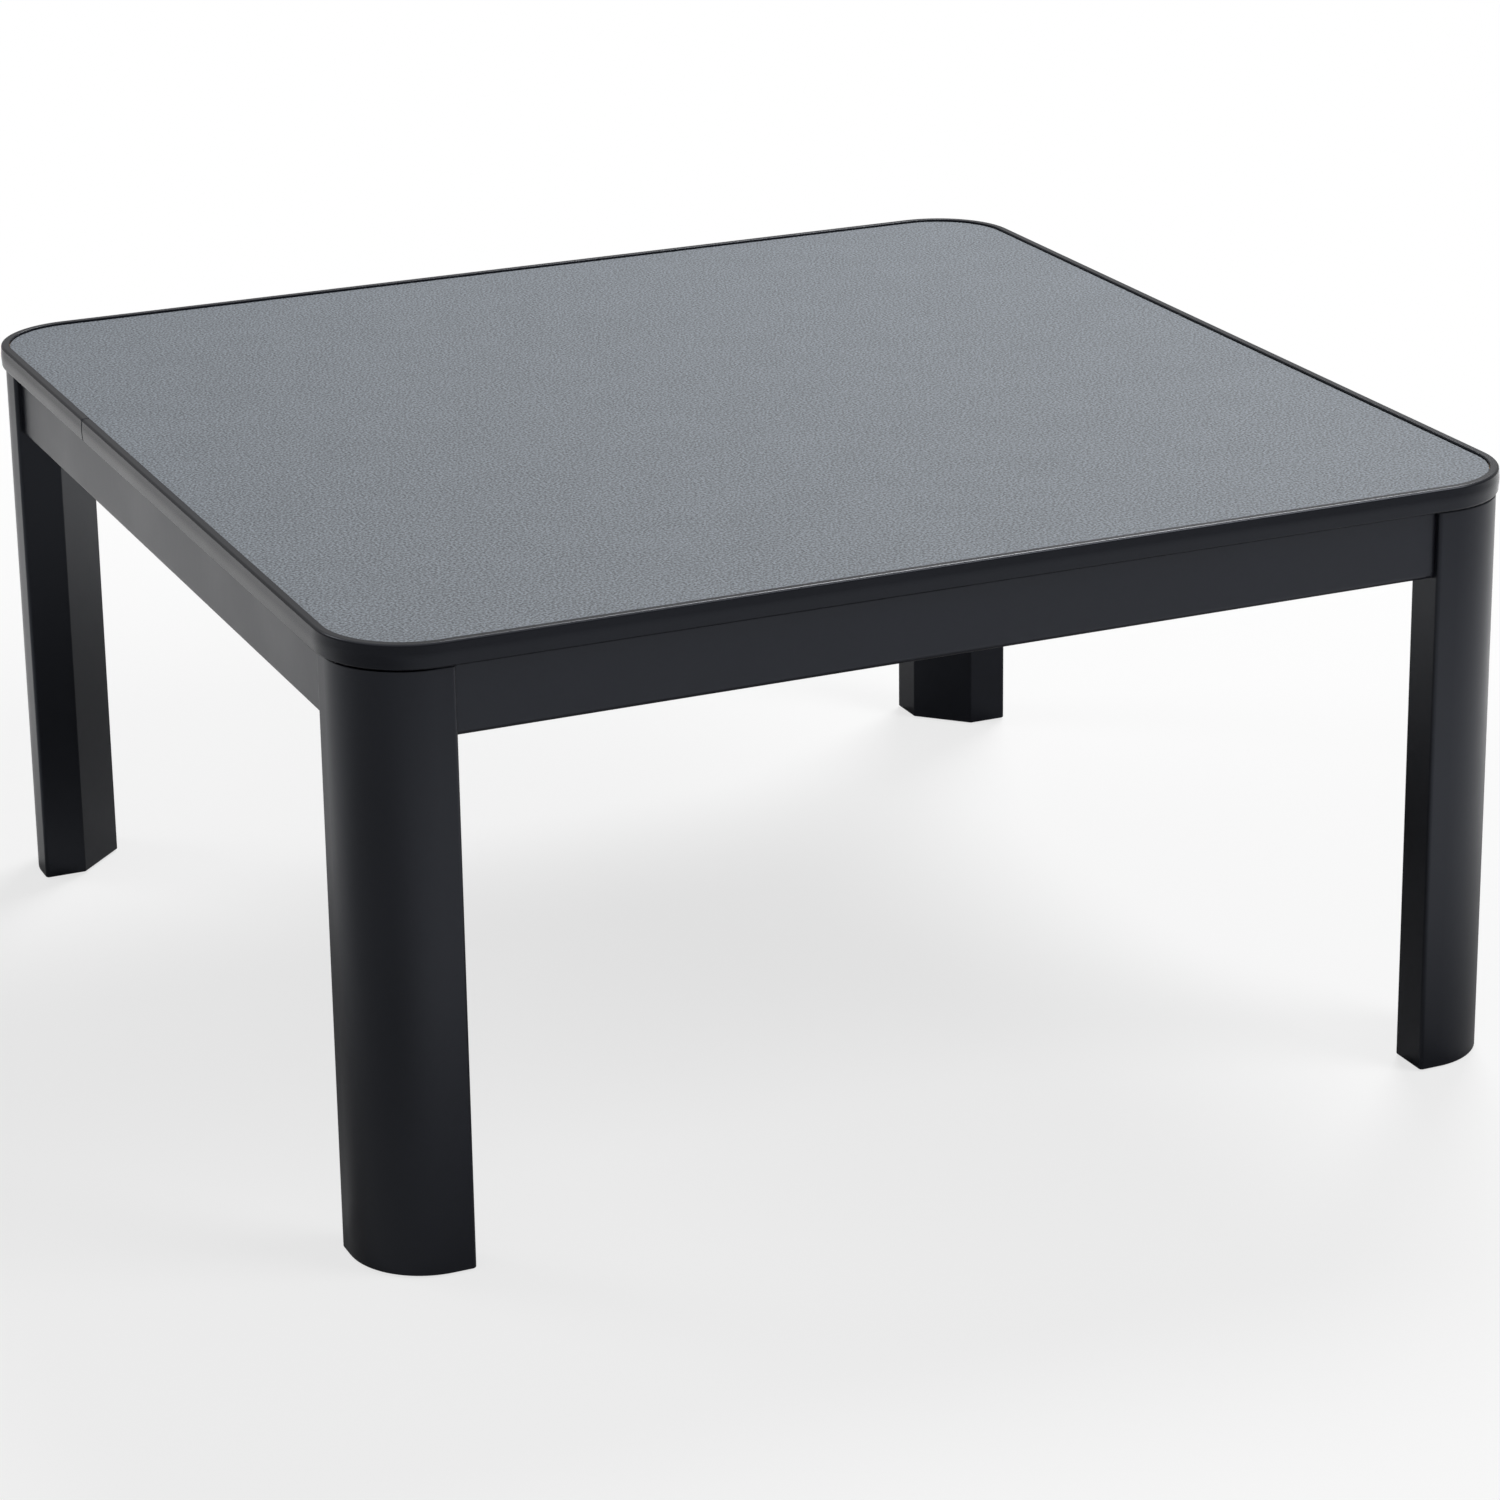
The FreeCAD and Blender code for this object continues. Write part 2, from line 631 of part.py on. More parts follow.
def apron():
    """Back apron, slotted for the bracket lips and drilled for their screws."""
    section = [
        (APRON_OUTER, FRAME_TOP, APRON_UPPER_ROUND),
        (APRON_INNER, FRAME_TOP, APRON_UPPER_ROUND),
        (APRON_INNER, APRON_BOTTOM, APRON_UPPER_ROUND),
        (APRON_OUTER, APRON_BOTTOM, APRON_LOWER_ROUND),
    ]
    body = along_x(section, -LEG_END, LEG_END)
    tip = bracket_path()[0][0]
    low = tip - BRACKET_SHEET - SLOT_CLEARANCE
    high = tip + SLOT_CLEARANCE
    deep = APRON_INNER + BRACKET_LIP + SLOT_CLEARANCE
    slot_right = block(low, high, APRON_INNER - OVERRUN, deep, APRON_BOTTOM - OVERRUN, FRAME_TOP + OVERRUN)
    slot_left = slot_right.mirror(Vector(0, 0, 0), Vector(1, 0, 0))
    cuts = [slot_right, slot_left]
    for place, way in bracket_screw_places():
        if way.y == 0:
            continue
        end = place + way * (BRACKET_SCREW_LENGTH + END_CLEARANCE)
        pilot = rod(BRACKET_SCREW_RADIUS + SCREW_PILOT_CLEARANCE, place, end)
        cuts.append(pilot)
        cuts.append(pilot.mirror(Vector(0, 0, 0), Vector(1, 0, 0)))
    return body.cut(cuts)


def rail_section(centre):
    """Section corners of a rail round its centre line."""
    low = centre - RAIL_WIDTH / 2
    return rectangle(low, low + RAIL_WIDTH, RAIL_BOTTOM, FRAME_TOP, RAIL_EDGE_ROUND)


def cross_rail(side):
    """Short rail between the long ones, at the front or the back."""
    return along_x(rail_section(side * RAIL_CENTRE), -RAIL_GAP / 2, RAIL_GAP / 2)


def long_rail(side):
    """Long rail from the front apron to the back one."""
    rail = along_x(rail_section(-side * RAIL_CENTRE), -APRON_INNER, APRON_INNER)
    return turned(rail, 1)


# Leg fastenings


def hanger_bolts():
    """Four bolts from the legs through the brackets."""
    far = LEG_DIAGONAL + BOLT_IN_LEG
    near = NUT_END - BOLT_PAST_NUT
    bolt = rod(BOLT_RADIUS, diagonal(near, APRON_MIDDLE), diagonal(far, APRON_MIDDLE))
    circles = [edge for edge in bolt.Edges if len(edge.Vertexes) == 1]
    return Part.makeCompound(ring_of(bolt.makeChamfer(BOLT_END_CHAMFER, circles)))


def washers():
    """Four washers between the nuts and the brackets."""
    start = diagonal(NUT_SEAT, APRON_MIDDLE)
    end = diagonal(BRACKET_INNER, APRON_MIDDLE)
    way = (end - start).normalize()
    disc = rod(WASHER_RADIUS, start, end)
    hole = rod(BOLT_RADIUS + WASHER_CLEARANCE, start - way * OVERRUN, end + way * OVERRUN)
    return Part.makeCompound(ring_of(disc.cut(hole)))


def wing_nut():
    """Back right wing nut: a tapered hub with two raised wings, its seat towards the leg."""
    hub = Part.makeCone(NUT_HUB_RADIUS, NUT_HUB_TIP_RADIUS, NUT_HUB_LENGTH)
    root = NUT_HUB_TIP_RADIUS / 2
    top = NUT_HUB_LENGTH + NUT_WING_RISE
    wing_points = [
        (root, NUT_WING_FOOT, 0),
        (NUT_HUB_RADIUS, NUT_WING_FOOT, 0),
        (NUT_WING_SPAN, NUT_HUB_LENGTH, NUT_WING_ROUND),
        (NUT_WING_SPAN, top, NUT_WING_ROUND),
        (NUT_HUB_RADIUS, top, NUT_WING_ROUND),
        (root, NUT_HUB_LENGTH, 0),
    ]
    wing = Part.Face(outline(wing_points)).extrude(Vector(0, 0, NUT_WING_THICK))
    wing.rotate(Vector(0, 0, 0), Vector(1, 0, 0), 90)
    wing.translate(Vector(0, NUT_WING_THICK / 2, 0))
    other = wing.copy()
    other.rotate(Vector(0, 0, 0), Vector(0, 0, 1), 180)
    nut = joined([hub, wing, other])
    bore = Part.makeCylinder(BOLT_RADIUS + NUT_RUNNING_CLEARANCE, top + 2 * OVERRUN, Vector(0, 0, -OVERRUN))
    nut = nut.cut(bore)
    inward = (diagonal(0, 0) - diagonal(NUT_SEAT, 0)).normalize()
    turn = FreeCAD.Rotation(inward.cross(Vector(0, 0, 1)), Vector(0, 0, 1), inward, "ZXY")
    nut.Placement = FreeCAD.Placement(diagonal(NUT_SEAT, APRON_MIDDLE), turn)
    return nut


# Heater shells


def heater_screw_places():
    """Plan places of the screws that hold the heater to the long rails."""
    half = HEATER_SCREW_SPACING / 2
    place = HEATER_SCREW_PLACE
    return [(place, half), (place, -half), (-place, half), (-place, -half)]


def guard_screw_places():
    """Plan places of the screws that hold the guard to the casing."""
    half = GUARD_SCREW_SPACING / 2
    place = GUARD_SCREW_PLACE
    return [(place, half), (place, -half), (-place, half), (-place, -half)]


def drilled(shape, places, radius, low, high):
    """Shape with a round hole at each plan place."""
    holes = [rod(radius, Vector(x, y, low - OVERRUN), Vector(x, y, high + OVERRUN)) for x, y in places]
    return shape.cut(holes)


def casing_bead(half, width, rise, base):
    """Square raised bead on the casing's top, as a ring."""
    outer = prism(square(half, CASING_CORNER_RADIUS / 2), base, base + rise)
    inner = prism(square(half - width, CASING_CORNER_RADIUS / 4), base, base + rise)
    return outer.cut(inner)


def heater_casing():
    """Pressed pan: raised top with a bead and vents, side flange, and the inlet's turned-down tab."""
    outer = rounded_plate(CASING_HALF, CASING_CORNER_RADIUS, FLANGE_BOTTOM, CASING_TOP, CASING_EDGE_ROUND)
    inner_half = CASING_HALF - CASING_SHEET
    inner_radius = CASING_CORNER_RADIUS - CASING_SHEET
    inner_round = CASING_EDGE_ROUND - CASING_SHEET
    inner_top = CASING_TOP - CASING_SHEET
    low = FLANGE_BOTTOM - OVERRUN
    inner = rounded_plate(inner_half, inner_radius, low, inner_top, inner_round)
    flange = prism(square(FLANGE_HALF, CASING_CORNER_RADIUS), FLANGE_BOTTOM, RAIL_BOTTOM)
    bead_half = CASING_HALF - CASING_BEAD_MARGIN
    bead = casing_bead(bead_half, CASING_BEAD_WIDTH, CASING_BEAD_RISE, CASING_TOP)
    tab_half = INLET_TAB_WIDTH / 2
    tab = block(-tab_half, tab_half, TAB_FACE - CASING_SHEET, TAB_FACE, TAB_BOTTOM, RAIL_BOTTOM)
    casing = joined([outer, flange, bead, tab]).cut(inner)
    cuts = []
    middle_vent = (CASING_VENTS - 1) / 2
    for index in range(CASING_VENTS):
        x = (index - middle_vent) * CASING_VENT_PITCH
        low_x = x - CASING_VENT_WIDTH / 2
        slot = rectangle(low_x, low_x + CASING_VENT_WIDTH, -CASING_VENT_LENGTH / 2, CASING_VENT_LENGTH / 2, 0)
        cuts.append(prism(slot, inner_top - OVERRUN, CASING_TOP + OVERRUN))
    half_wide = INLET_BODY_WIDTH / 2 + INLET_CLEARANCE
    half_high = INLET_BODY_HEIGHT / 2 + INLET_CLEARANCE
    near = TAB_FACE - CASING_SHEET - OVERRUN
    far = TAB_FACE + OVERRUN
    cuts.append(block(-half_wide, half_wide, near, far, INLET_MIDDLE - half_high, INLET_MIDDLE + half_high))
    casing = casing.cut(cuts)
    hole = HEATER_SCREW_RADIUS + SCREW_HOLE_CLEARANCE
    casing = drilled(casing, heater_screw_places(), hole, FLANGE_BOTTOM, RAIL_BOTTOM)
    pilot = GUARD_SCREW_RADIUS + SCREW_PILOT_CLEARANCE
    return drilled(casing, guard_screw_places(), pilot, FLANGE_BOTTOM, RAIL_BOTTOM)


def insulation_sheet():
    """Heat insulation under the casing's top."""
    half = CASING_HALF - CASING_SHEET - INSULATION_MARGIN
    top = CASING_TOP - CASING_SHEET
    return prism(square(half, CASING_CORNER_RADIUS - INSULATION_MARGIN), top - INSULATION_THICK, top)


def inlet_notch():
    """Room for the inlet's body in the guard's lip, and for its leads in the guard's wall."""
    half = INLET_BODY_WIDTH / 2 + INLET_CLEARANCE
    body_room = block(-half, half, INLET_BACK - INLET_CLEARANCE, TAB_FACE, GUARD_BOTTOM, LIP_BOTTOM)
    half = INLET_PIN_SPACING / 2 + LEAD_RADIUS + LEAD_CLEARANCE
    low = INLET_MIDDLE - LEAD_RADIUS - LEAD_CLEARANCE
    near = MOUTH_HALF - GUARD_DRAFT - GUARD_SHEET
    return body_room.fuse(block(-half, half, near, INLET_BACK, low, LIP_BOTTOM))


def reflector():
    """Polished dish with sloping sides and a lip under the casing's flange."""
    top_radius = REFLECTOR_CORNER_RADIUS / 2
    radius = REFLECTOR_CORNER_RADIUS
    outer = dish(REFLECTOR_FLAT_HALF, top_radius, REFLECTOR_TOP, MOUTH_HALF, radius, LIP_BOTTOM)
    slope = REFLECTOR_SLOPE_RUN / (REFLECTOR_TOP - LIP_BOTTOM)
    inset = REFLECTOR_SHEET * math.sqrt(1 + slope * slope)
    inner_top = REFLECTOR_FLAT_HALF + REFLECTOR_SHEET * slope - inset
    inner = dish(inner_top, top_radius, REFLECTOR_FACE, MOUTH_HALF - inset, radius, LIP_BOTTOM)
    lip = prism(square(LIP_HALF, radius), LIP_BOTTOM, FLANGE_BOTTOM)
    shell = joined([outer, lip]).cut(inner)
    hole = GUARD_SCREW_RADIUS + SCREW_HOLE_CLEARANCE
    return drilled(shell, guard_screw_places(), hole, LIP_BOTTOM, FLANGE_BOTTOM)


def heater_guard():
    """Punched dish that keeps knees and quilt off the tube."""
    bottom_half = MOUTH_HALF - GUARD_DRAFT
    radius = GUARD_CORNER_RADIUS
    outer = dish(MOUTH_HALF, radius, LIP_BOTTOM, bottom_half, radius, GUARD_BOTTOM)
    inner_low = GUARD_BOTTOM + GUARD_SHEET
    low_half = bottom_half - GUARD_SHEET
    inner = dish(MOUTH_HALF - GUARD_SHEET, radius, LIP_BOTTOM, low_half, radius, inner_low)
    lip = prism(square(LIP_HALF, radius), GUARD_FLANGE_BOTTOM, LIP_BOTTOM)
    shell = joined([outer, lip]).cut(inner)
    shell = shell.cut(inlet_notch())
    holes = []
    middle = (GUARD_HOLES - 1) / 2
    half = GUARD_HOLE / 2
    for column in range(GUARD_HOLES):
        for row in range(GUARD_HOLES):
            x = (column - middle) * GUARD_PITCH
            y = (row - middle) * GUARD_PITCH
            low = GUARD_BOTTOM - OVERRUN
            holes.append(block(x - half, x + half, y - half, y + half, low, inner_low + OVERRUN))
    low = GUARD_BOTTOM + GUARD_SIDE_SLOT_RISE
    high = low + GUARD_SIDE_SLOT_HEIGHT
    side_middle = (GUARD_SIDE_SLOTS - 1) / 2
    for index in range(GUARD_SIDE_SLOTS):
        y = (index - side_middle) * GUARD_SIDE_PITCH
        near = bottom_half - GUARD_SHEET - OVERRUN
        slot = block(near, MOUTH_HALF + OVERRUN, y - GUARD_SIDE_SLOT / 2, y + GUARD_SIDE_SLOT / 2, low, high)
        holes.append(slot)
        holes.append(turned(slot, 2))
        holes.append(turned(slot, 3))
    shell = shell.cut(Part.makeCompound(holes))
    hole = GUARD_SCREW_RADIUS + SCREW_HOLE_CLEARANCE
    return drilled(shell, guard_screw_places(), hole, GUARD_FLANGE_BOTTOM, LIP_BOTTOM)


def upright_screws(radius, length, places, seat):
    """Screws driven upwards at plan places, their heads under the seat height."""
    up = Vector(0, 0, 1)
    return Part.makeCompound([pan_screw(radius, length, Vector(x, y, seat), up) for x, y in places])


def heater_screws():
    """Wood screws through the casing's flange into the long rails."""
    return upright_screws(HEATER_SCREW_RADIUS, HEATER_SCREW_LENGTH, heater_screw_places(), FLANGE_BOTTOM)


def guard_screws():
    """Short screws through the guard and the reflector's lip into the casing."""
    return upright_screws(GUARD_SCREW_RADIUS, GUARD_SCREW_LENGTH, guard_screw_places(), GUARD_FLANGE_BOTTOM)


# Heating element


def bent_rod(radius):
    """Round rod along the tube's line: two straight legs and a half-round bow."""
    rods = []
    for side in (-1, 1):
        y = side * TUBE_BEND_RADIUS
        rods.append(rod(radius, Vector(TUBE_LEG_START, y, TUBE_MIDDLE), Vector(TUBE_LEG_END, y, TUBE_MIDDLE)))
    circle = Part.makeCircle(radius, Vector(TUBE_LEG_END, -TUBE_BEND_RADIUS, TUBE_MIDDLE), Vector(1, 0, 0))
    face = Part.Face(Part.Wire([circle]))
    bow = face.revolve(Vector(TUBE_LEG_END, 0, TUBE_MIDDLE), Vector(0, 0, 1), 180)
    return joined(rods + [bow])


def quartz_tube():
    """Bent tube, open at both ends inside the holders."""
    return bent_rod(TUBE_RADIUS).cut(bent_rod(TUBE_RADIUS - TUBE_WALL))


def heating_winding():
    """Outer shape of the winding inside the tube."""
    return bent_rod(WINDING_RADIUS)


def tube_holders():
    """Two ceramic end holders, each a rounded block that stands down from the reflector."""
    start = TUBE_LEG_START + HOLDER_OVERLAP - HOLDER_LENGTH
    end = TUBE_LEG_START + HOLDER_OVERLAP
    holders = []
    for side in (-1, 1):
        y = side * TUBE_BEND_RADIUS
        low = y - HOLDER_WIDTH / 2
        section = rectangle(low, low + HOLDER_WIDTH, TUBE_MIDDLE - HOLDER_BELOW, REFLECTOR_FACE, HOLDER_ROUND)
        body = along_x(section, start, end)
        inside = Vector(TUBE_LEG_START, y, TUBE_MIDDLE)
        seat = rod(TUBE_RADIUS + HOLDER_CLEARANCE, inside, Vector(end + OVERRUN, y, TUBE_MIDDLE))
        entry = rod(TERMINAL_RADIUS, Vector(start - OVERRUN, y, TUBE_MIDDLE), inside)
        holders.append(body.cut([seat, entry]))
    return Part.makeCompound(holders)


def terminals():
    """Terminal posts between the winding and the leads."""
    posts = []
    for side in (-1, 1):
        y = side * TUBE_BEND_RADIUS
        start = Vector(post_end(), y, TUBE_MIDDLE)
        posts.append(rod(TERMINAL_RADIUS, start, Vector(TUBE_LEG_START, y, TUBE_MIDDLE)))
    return Part.makeCompound(posts)


def tube_clip():
    """Sheet clip that hangs the tube's bow from the reflector."""
    middle = TUBE_LEG_END + TUBE_BEND_RADIUS
    half = CLIP_WIDTH / 2
    inner = TUBE_RADIUS + CLIP_CLEARANCE
    outer = inner + CLIP_SHEET
    start = Vector(middle, -half, TUBE_MIDDLE)
    end = Vector(middle, half, TUBE_MIDDLE)
    over = Vector(0, OVERRUN, 0)
    web = block(middle - CLIP_SHEET / 2, middle + CLIP_SHEET / 2, -half, half, TUBE_MIDDLE, REFLECTOR_FACE)
    foot_low = middle - CLIP_FOOT
    foot = block(foot_low, middle + CLIP_SHEET / 2, -half, half, REFLECTOR_FACE - CLIP_SHEET, REFLECTOR_FACE)
    sleeve = rod(outer, start, end)
    return joined([sleeve, web, foot]).cut(rod(inner, start - over, end + over))


# Inlet and wiring


def inlet_housing():
    """Socket body with a bezel outside the tab and an open cavity round the pins."""
    half_wide = INLET_BODY_WIDTH / 2
    half_high = INLET_BODY_HEIGHT / 2
    face = TAB_FACE + INLET_BEZEL_THICK
    body = inlet_block(half_wide, half_high, INLET_BODY_ROUND, INLET_BACK, TAB_FACE)
    margin = INLET_BEZEL_MARGIN
    bezel = inlet_block(half_wide + margin, half_high + margin, INLET_BODY_ROUND, TAB_FACE, face)
    wall = INLET_WALL
    floor = face - INLET_CAVITY_DEPTH
    cavity = inlet_block(half_wide - wall, half_high - wall, INLET_BODY_ROUND - wall, floor, face + OVERRUN)
    housing = joined([body, bezel]).cut(cavity)
    holes = []
    for x in inlet_pin_places():
        start = Vector(x, INLET_BACK - OVERRUN, INLET_MIDDLE)
        holes.append(rod(INLET_PIN_RADIUS, start, Vector(x, face, INLET_MIDDLE)))
    return housing.cut(holes)


def inlet_block(half_wide, half_high, radius, near, far):
    """Rounded block of the inlet between two depths."""
    section = rectangle(-half_wide, half_wide, INLET_MIDDLE - half_high, INLET_MIDDLE + half_high, radius)
    solid = prism(section, near, far)
    solid.rotate(Vector(0, 0, 0), Vector(1, 0, 0), 90)
    return solid.mirror(Vector(0, 0, 0), Vector(0, 1, 0))


def inlet_pin_places():
    """X places of the two pins."""
    return (-INLET_PIN_SPACING / 2, INLET_PIN_SPACING / 2)


def inlet_pins():
    """Round contact pins that pass through the socket's floor."""
    pins = []
    tip = TAB_FACE + INLET_BEZEL_THICK - INLET_PIN_SET_BACK
    for x in inlet_pin_places():
        start = Vector(x, INLET_BACK - INLET_TERMINAL_LENGTH, INLET_MIDDLE)
        pin = rod(INLET_PIN_RADIUS, start, Vector(x, tip, INLET_MIDDLE))
        far = [edge for edge in pin.Edges if edge.BoundBox.YMin > tip - Part.Precision.confusion()]
        pins.append(pin.makeFillet(INLET_PIN_RADIUS / 2, far))
    return Part.makeCompound(pins)


def lead(points):
    """Round lead through plan points, with every bend a tangent arc."""
    spots = [Vector(x, y, z) for x, y, z in points]
    edges = []
    last = spots[0]
    for index in range(1, len(spots) - 1):
        back = (spots[index - 1] - spots[index]).normalize()
        ahead = (spots[index + 1] - spots[index]).normalize()
        half_angle = back.getAngle(ahead) / 2
        run = LEAD_BEND / math.tan(half_angle)
        start = spots[index] + back * run
        end = spots[index] + ahead * run
        inward = (back + ahead).normalize()
        middle = spots[index] + inward * (LEAD_BEND / math.sin(half_angle) - LEAD_BEND)
        edges.append(Part.makeLine(last, start))
        edges.append(Part.Arc(start, middle, end).toShape())
        last = end
    edges.append(Part.makeLine(last, spots[-1]))
    path = Part.Wire(edges)
    circle = Part.makeCircle(LEAD_RADIUS, spots[0], spots[1] - spots[0])
    return path.makePipeShell([Part.Wire([circle])], True, False)


def back_lanes():
    """Y places of the inner and outer leads along the back of the heater."""
    inner = MOUTH_HALF - LANE_SET_IN
    return inner, inner + LANE_SPACING


def left_lanes():
    """X places of the inner and outer leads along the left of the heater."""
    inner = post_end() - LANE_OUTSIDE_POST
    return inner, inner - LANE_SPACING


def post_end():
    """X place of the terminal posts' outer ends."""
    return TUBE_LEG_START + HOLDER_OVERLAP - HOLDER_LENGTH - TERMINAL_LENGTH


def leads():
    """Leads from the inlet by the fuse and the thermostat to the tube's terminals."""
    inner, outer = back_lanes()
    near, far = left_lanes()
    height = INLET_MIDDLE
    left, right = inlet_pin_places()
    back = INLET_BACK - INLET_TERMINAL_LENGTH
    post = post_end()
    fuse_right = FUSE_PLACE + FUSE_LENGTH / 2
    fuse_left = FUSE_PLACE - FUSE_LENGTH / 2
    half = THERMOSTAT_LENGTH / 2
    bow = TUBE_BEND_RADIUS
    paths = [
        [(right, back, height), (right, inner, height), (fuse_right, inner, height)],
        [(fuse_left, inner, height), (near, inner, height), (near, bow, height), (post, bow, height)],
        [(left, back, height), (left, outer, height), (far, outer, height), (far, half, height)],
        [(far, -half, height), (far, -bow, height), (post, -bow, height)],
    ]
    return Part.makeCompound([lead(path) for path in paths])


def thermal_fuse():
    """In-line fuse in its sleeve on the inner lead."""
    inner, outer = back_lanes()
    start = Vector(FUSE_PLACE - FUSE_LENGTH / 2, inner, INLET_MIDDLE)
    return rod(FUSE_RADIUS, start, start + Vector(FUSE_LENGTH, 0, 0))


def thermostat():
    """Bimetal thermostat on the outer lead, with its sensing disc below."""
    near, far = left_lanes()
    half_wide = THERMOSTAT_WIDTH / 2
    half_long = THERMOSTAT_LENGTH / 2
    low = INLET_MIDDLE - THERMOSTAT_HEIGHT / 2
    high = INLET_MIDDLE + THERMOSTAT_HEIGHT / 2
    plan = rectangle(far - half_wide, far + half_wide, -half_long, half_long, THERMOSTAT_ROUND)
    disc_top = Vector(far, 0, low)
    disc = rod(THERMOSTAT_DISC_RADIUS, disc_top - Vector(0, 0, THERMOSTAT_DISC_RISE), disc_top)
    return joined([prism(plan, low, high), disc])


def thermostat_bracket():
    """Bent strip that hangs the thermostat from the reflector's flat."""
    near, far = left_lanes()
    half = THERMOSTAT_BRACKET_WIDTH / 2
    sheet = THERMOSTAT_BRACKET_SHEET
    low_x = far - THERMOSTAT_WIDTH / 2
    rise_x = sheet - REFLECTOR_FLAT_HALF
    arm_low = INLET_MIDDLE + THERMOSTAT_HEIGHT / 2
    arm = block(low_x, rise_x + sheet, -half, half, arm_low, arm_low + sheet)
    riser = block(rise_x, rise_x + sheet, -half, half, arm_low, REFLECTOR_FACE)
    foot_end = rise_x + THERMOSTAT_BRACKET_FOOT
    foot = block(rise_x, foot_end, -half, half, REFLECTOR_FACE - sheet, REFLECTOR_FACE)
    return joined([arm, riser, foot])


def build():
    """Write every piece of the table."""
    os.makedirs("parts", exist_ok=True)
    save("board_core", board_core())
    save("top_laminate", laminate(BOARD_TOP - LAMINATE_THICK))
    save("reverse_laminate", laminate(BOARD_BOTTOM))
    save("edge_moulding", edge_moulding())
    leg_shape = leg()
    bracket_shape = corner_bracket()
    nut_shape = wing_nut()
    for name, quarter in CORNERS.items():
        save(f"leg_{name}", turned(leg_shape, quarter))
        save(f"corner_bracket_{name}", turned(bracket_shape, quarter))
        save(f"wing_nut_{name}", turned(nut_shape, quarter))
    holes = all_dowels(DOWEL_RADIUS + DOWEL_SIDE_CLEARANCE, END_CLEARANCE)
    apron_shape = apron()
    for name, quarter in SIDES.items():
        save(f"apron_{name}", turned(apron_shape, quarter).cut(holes))
    pilots = []
    for x, y in heater_screw_places():
        top = Vector(x, y, FLANGE_BOTTOM + HEATER_SCREW_LENGTH + END_CLEARANCE)
        pilots.append(rod(HEATER_SCREW_RADIUS + SCREW_PILOT_CLEARANCE, Vector(x, y, FLANGE_BOTTOM), top))
    save("long_rail_left", long_rail(-1).cut(holes + pilots))
    save("long_rail_right", long_rail(1).cut(holes + pilots))
    save("cross_rail_front", cross_rail(-1).cut(holes))
    save("cross_rail_back", cross_rail(1).cut(holes))
    save("rail_dowels", dowels())
    save("foot_glides", glides())
    save("rest_pads", rest_pads())
    save("bracket_screws", bracket_screws())
    save("hanger_bolts", hanger_bolts())
    save("washers", washers())
    save("heater_casing", heater_casing())
    save("insulation_sheet", insulation_sheet())
    save("reflector", reflector())
    save("heater_guard", heater_guard())
    save("heater_screws", heater_screws())
    save("guard_screws", guard_screws())
    save("quartz_tube", quartz_tube())
    save("heating_winding", heating_winding())
    save("tube_holders", tube_holders())
    save("tube_terminals", terminals())
    save("tube_clip", tube_clip())
    save("inlet_housing", inlet_housing())
    save("inlet_pins", inlet_pins())
    save("inner_leads", leads())
    save("thermal_fuse", thermal_fuse())
    save("thermostat", thermostat())
    save("thermostat_bracket", thermostat_bracket())


build()
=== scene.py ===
# %% [markdown]
# # A low heated table, dressed for a portrait
#
# The object is a square low table of 750 mm. Its board lifts off, its four legs unbolt, and an
# electric heater hangs under its middle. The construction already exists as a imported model, so
# this lesson adds what the eye judges: smooth surfaces where light slides along a curve, small
# parts with their real detail, and a finish for every material.
#
# Its nodes keep their places, and each new piece is made in the same metres, in the same frame,
# and then rides on one of the model's bodies.

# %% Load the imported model
import json
import math

import bpy
import numpy as np
from mathutils import Matrix, Vector


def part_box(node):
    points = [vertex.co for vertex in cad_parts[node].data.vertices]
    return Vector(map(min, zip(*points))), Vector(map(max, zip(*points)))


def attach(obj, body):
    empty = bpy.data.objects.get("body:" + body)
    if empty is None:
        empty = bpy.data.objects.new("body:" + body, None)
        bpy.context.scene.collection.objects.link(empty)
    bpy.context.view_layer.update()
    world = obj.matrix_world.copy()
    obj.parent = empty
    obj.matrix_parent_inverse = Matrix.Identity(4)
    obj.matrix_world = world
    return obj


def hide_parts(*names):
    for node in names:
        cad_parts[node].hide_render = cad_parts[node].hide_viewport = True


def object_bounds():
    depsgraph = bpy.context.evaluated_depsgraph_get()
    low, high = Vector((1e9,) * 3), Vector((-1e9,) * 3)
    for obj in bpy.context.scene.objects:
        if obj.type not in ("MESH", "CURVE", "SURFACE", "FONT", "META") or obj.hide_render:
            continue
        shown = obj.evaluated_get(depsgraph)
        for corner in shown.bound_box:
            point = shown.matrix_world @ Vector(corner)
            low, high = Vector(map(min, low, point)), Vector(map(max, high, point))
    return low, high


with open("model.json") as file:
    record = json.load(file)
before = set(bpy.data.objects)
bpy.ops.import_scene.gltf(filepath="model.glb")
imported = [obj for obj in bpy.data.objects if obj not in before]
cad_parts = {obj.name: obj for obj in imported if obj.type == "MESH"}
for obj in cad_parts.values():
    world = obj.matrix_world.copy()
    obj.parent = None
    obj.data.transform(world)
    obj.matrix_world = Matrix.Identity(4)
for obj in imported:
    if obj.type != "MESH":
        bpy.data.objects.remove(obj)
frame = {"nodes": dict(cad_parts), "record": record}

MM = 0.001
CAD_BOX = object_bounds()

# %% [markdown]
# ## The camera
#
# A photograph fixes where its camera stood. Straight edges of the board, the aprons and the legs
# were matched to a pinhole camera, and the result is a long lens some three metres away, looking
# down past the front left leg. The picture is square, so one number gives its scale: the focal
# length in pixels of a 1500 pixel frame. A 36 mm sensor turns it into a lens.
#
# In the photograph the legs stay nearly upright although the camera looks down on the board. That
# is the mark of a lens moved down across its film, so the camera has a small vertical shift too.

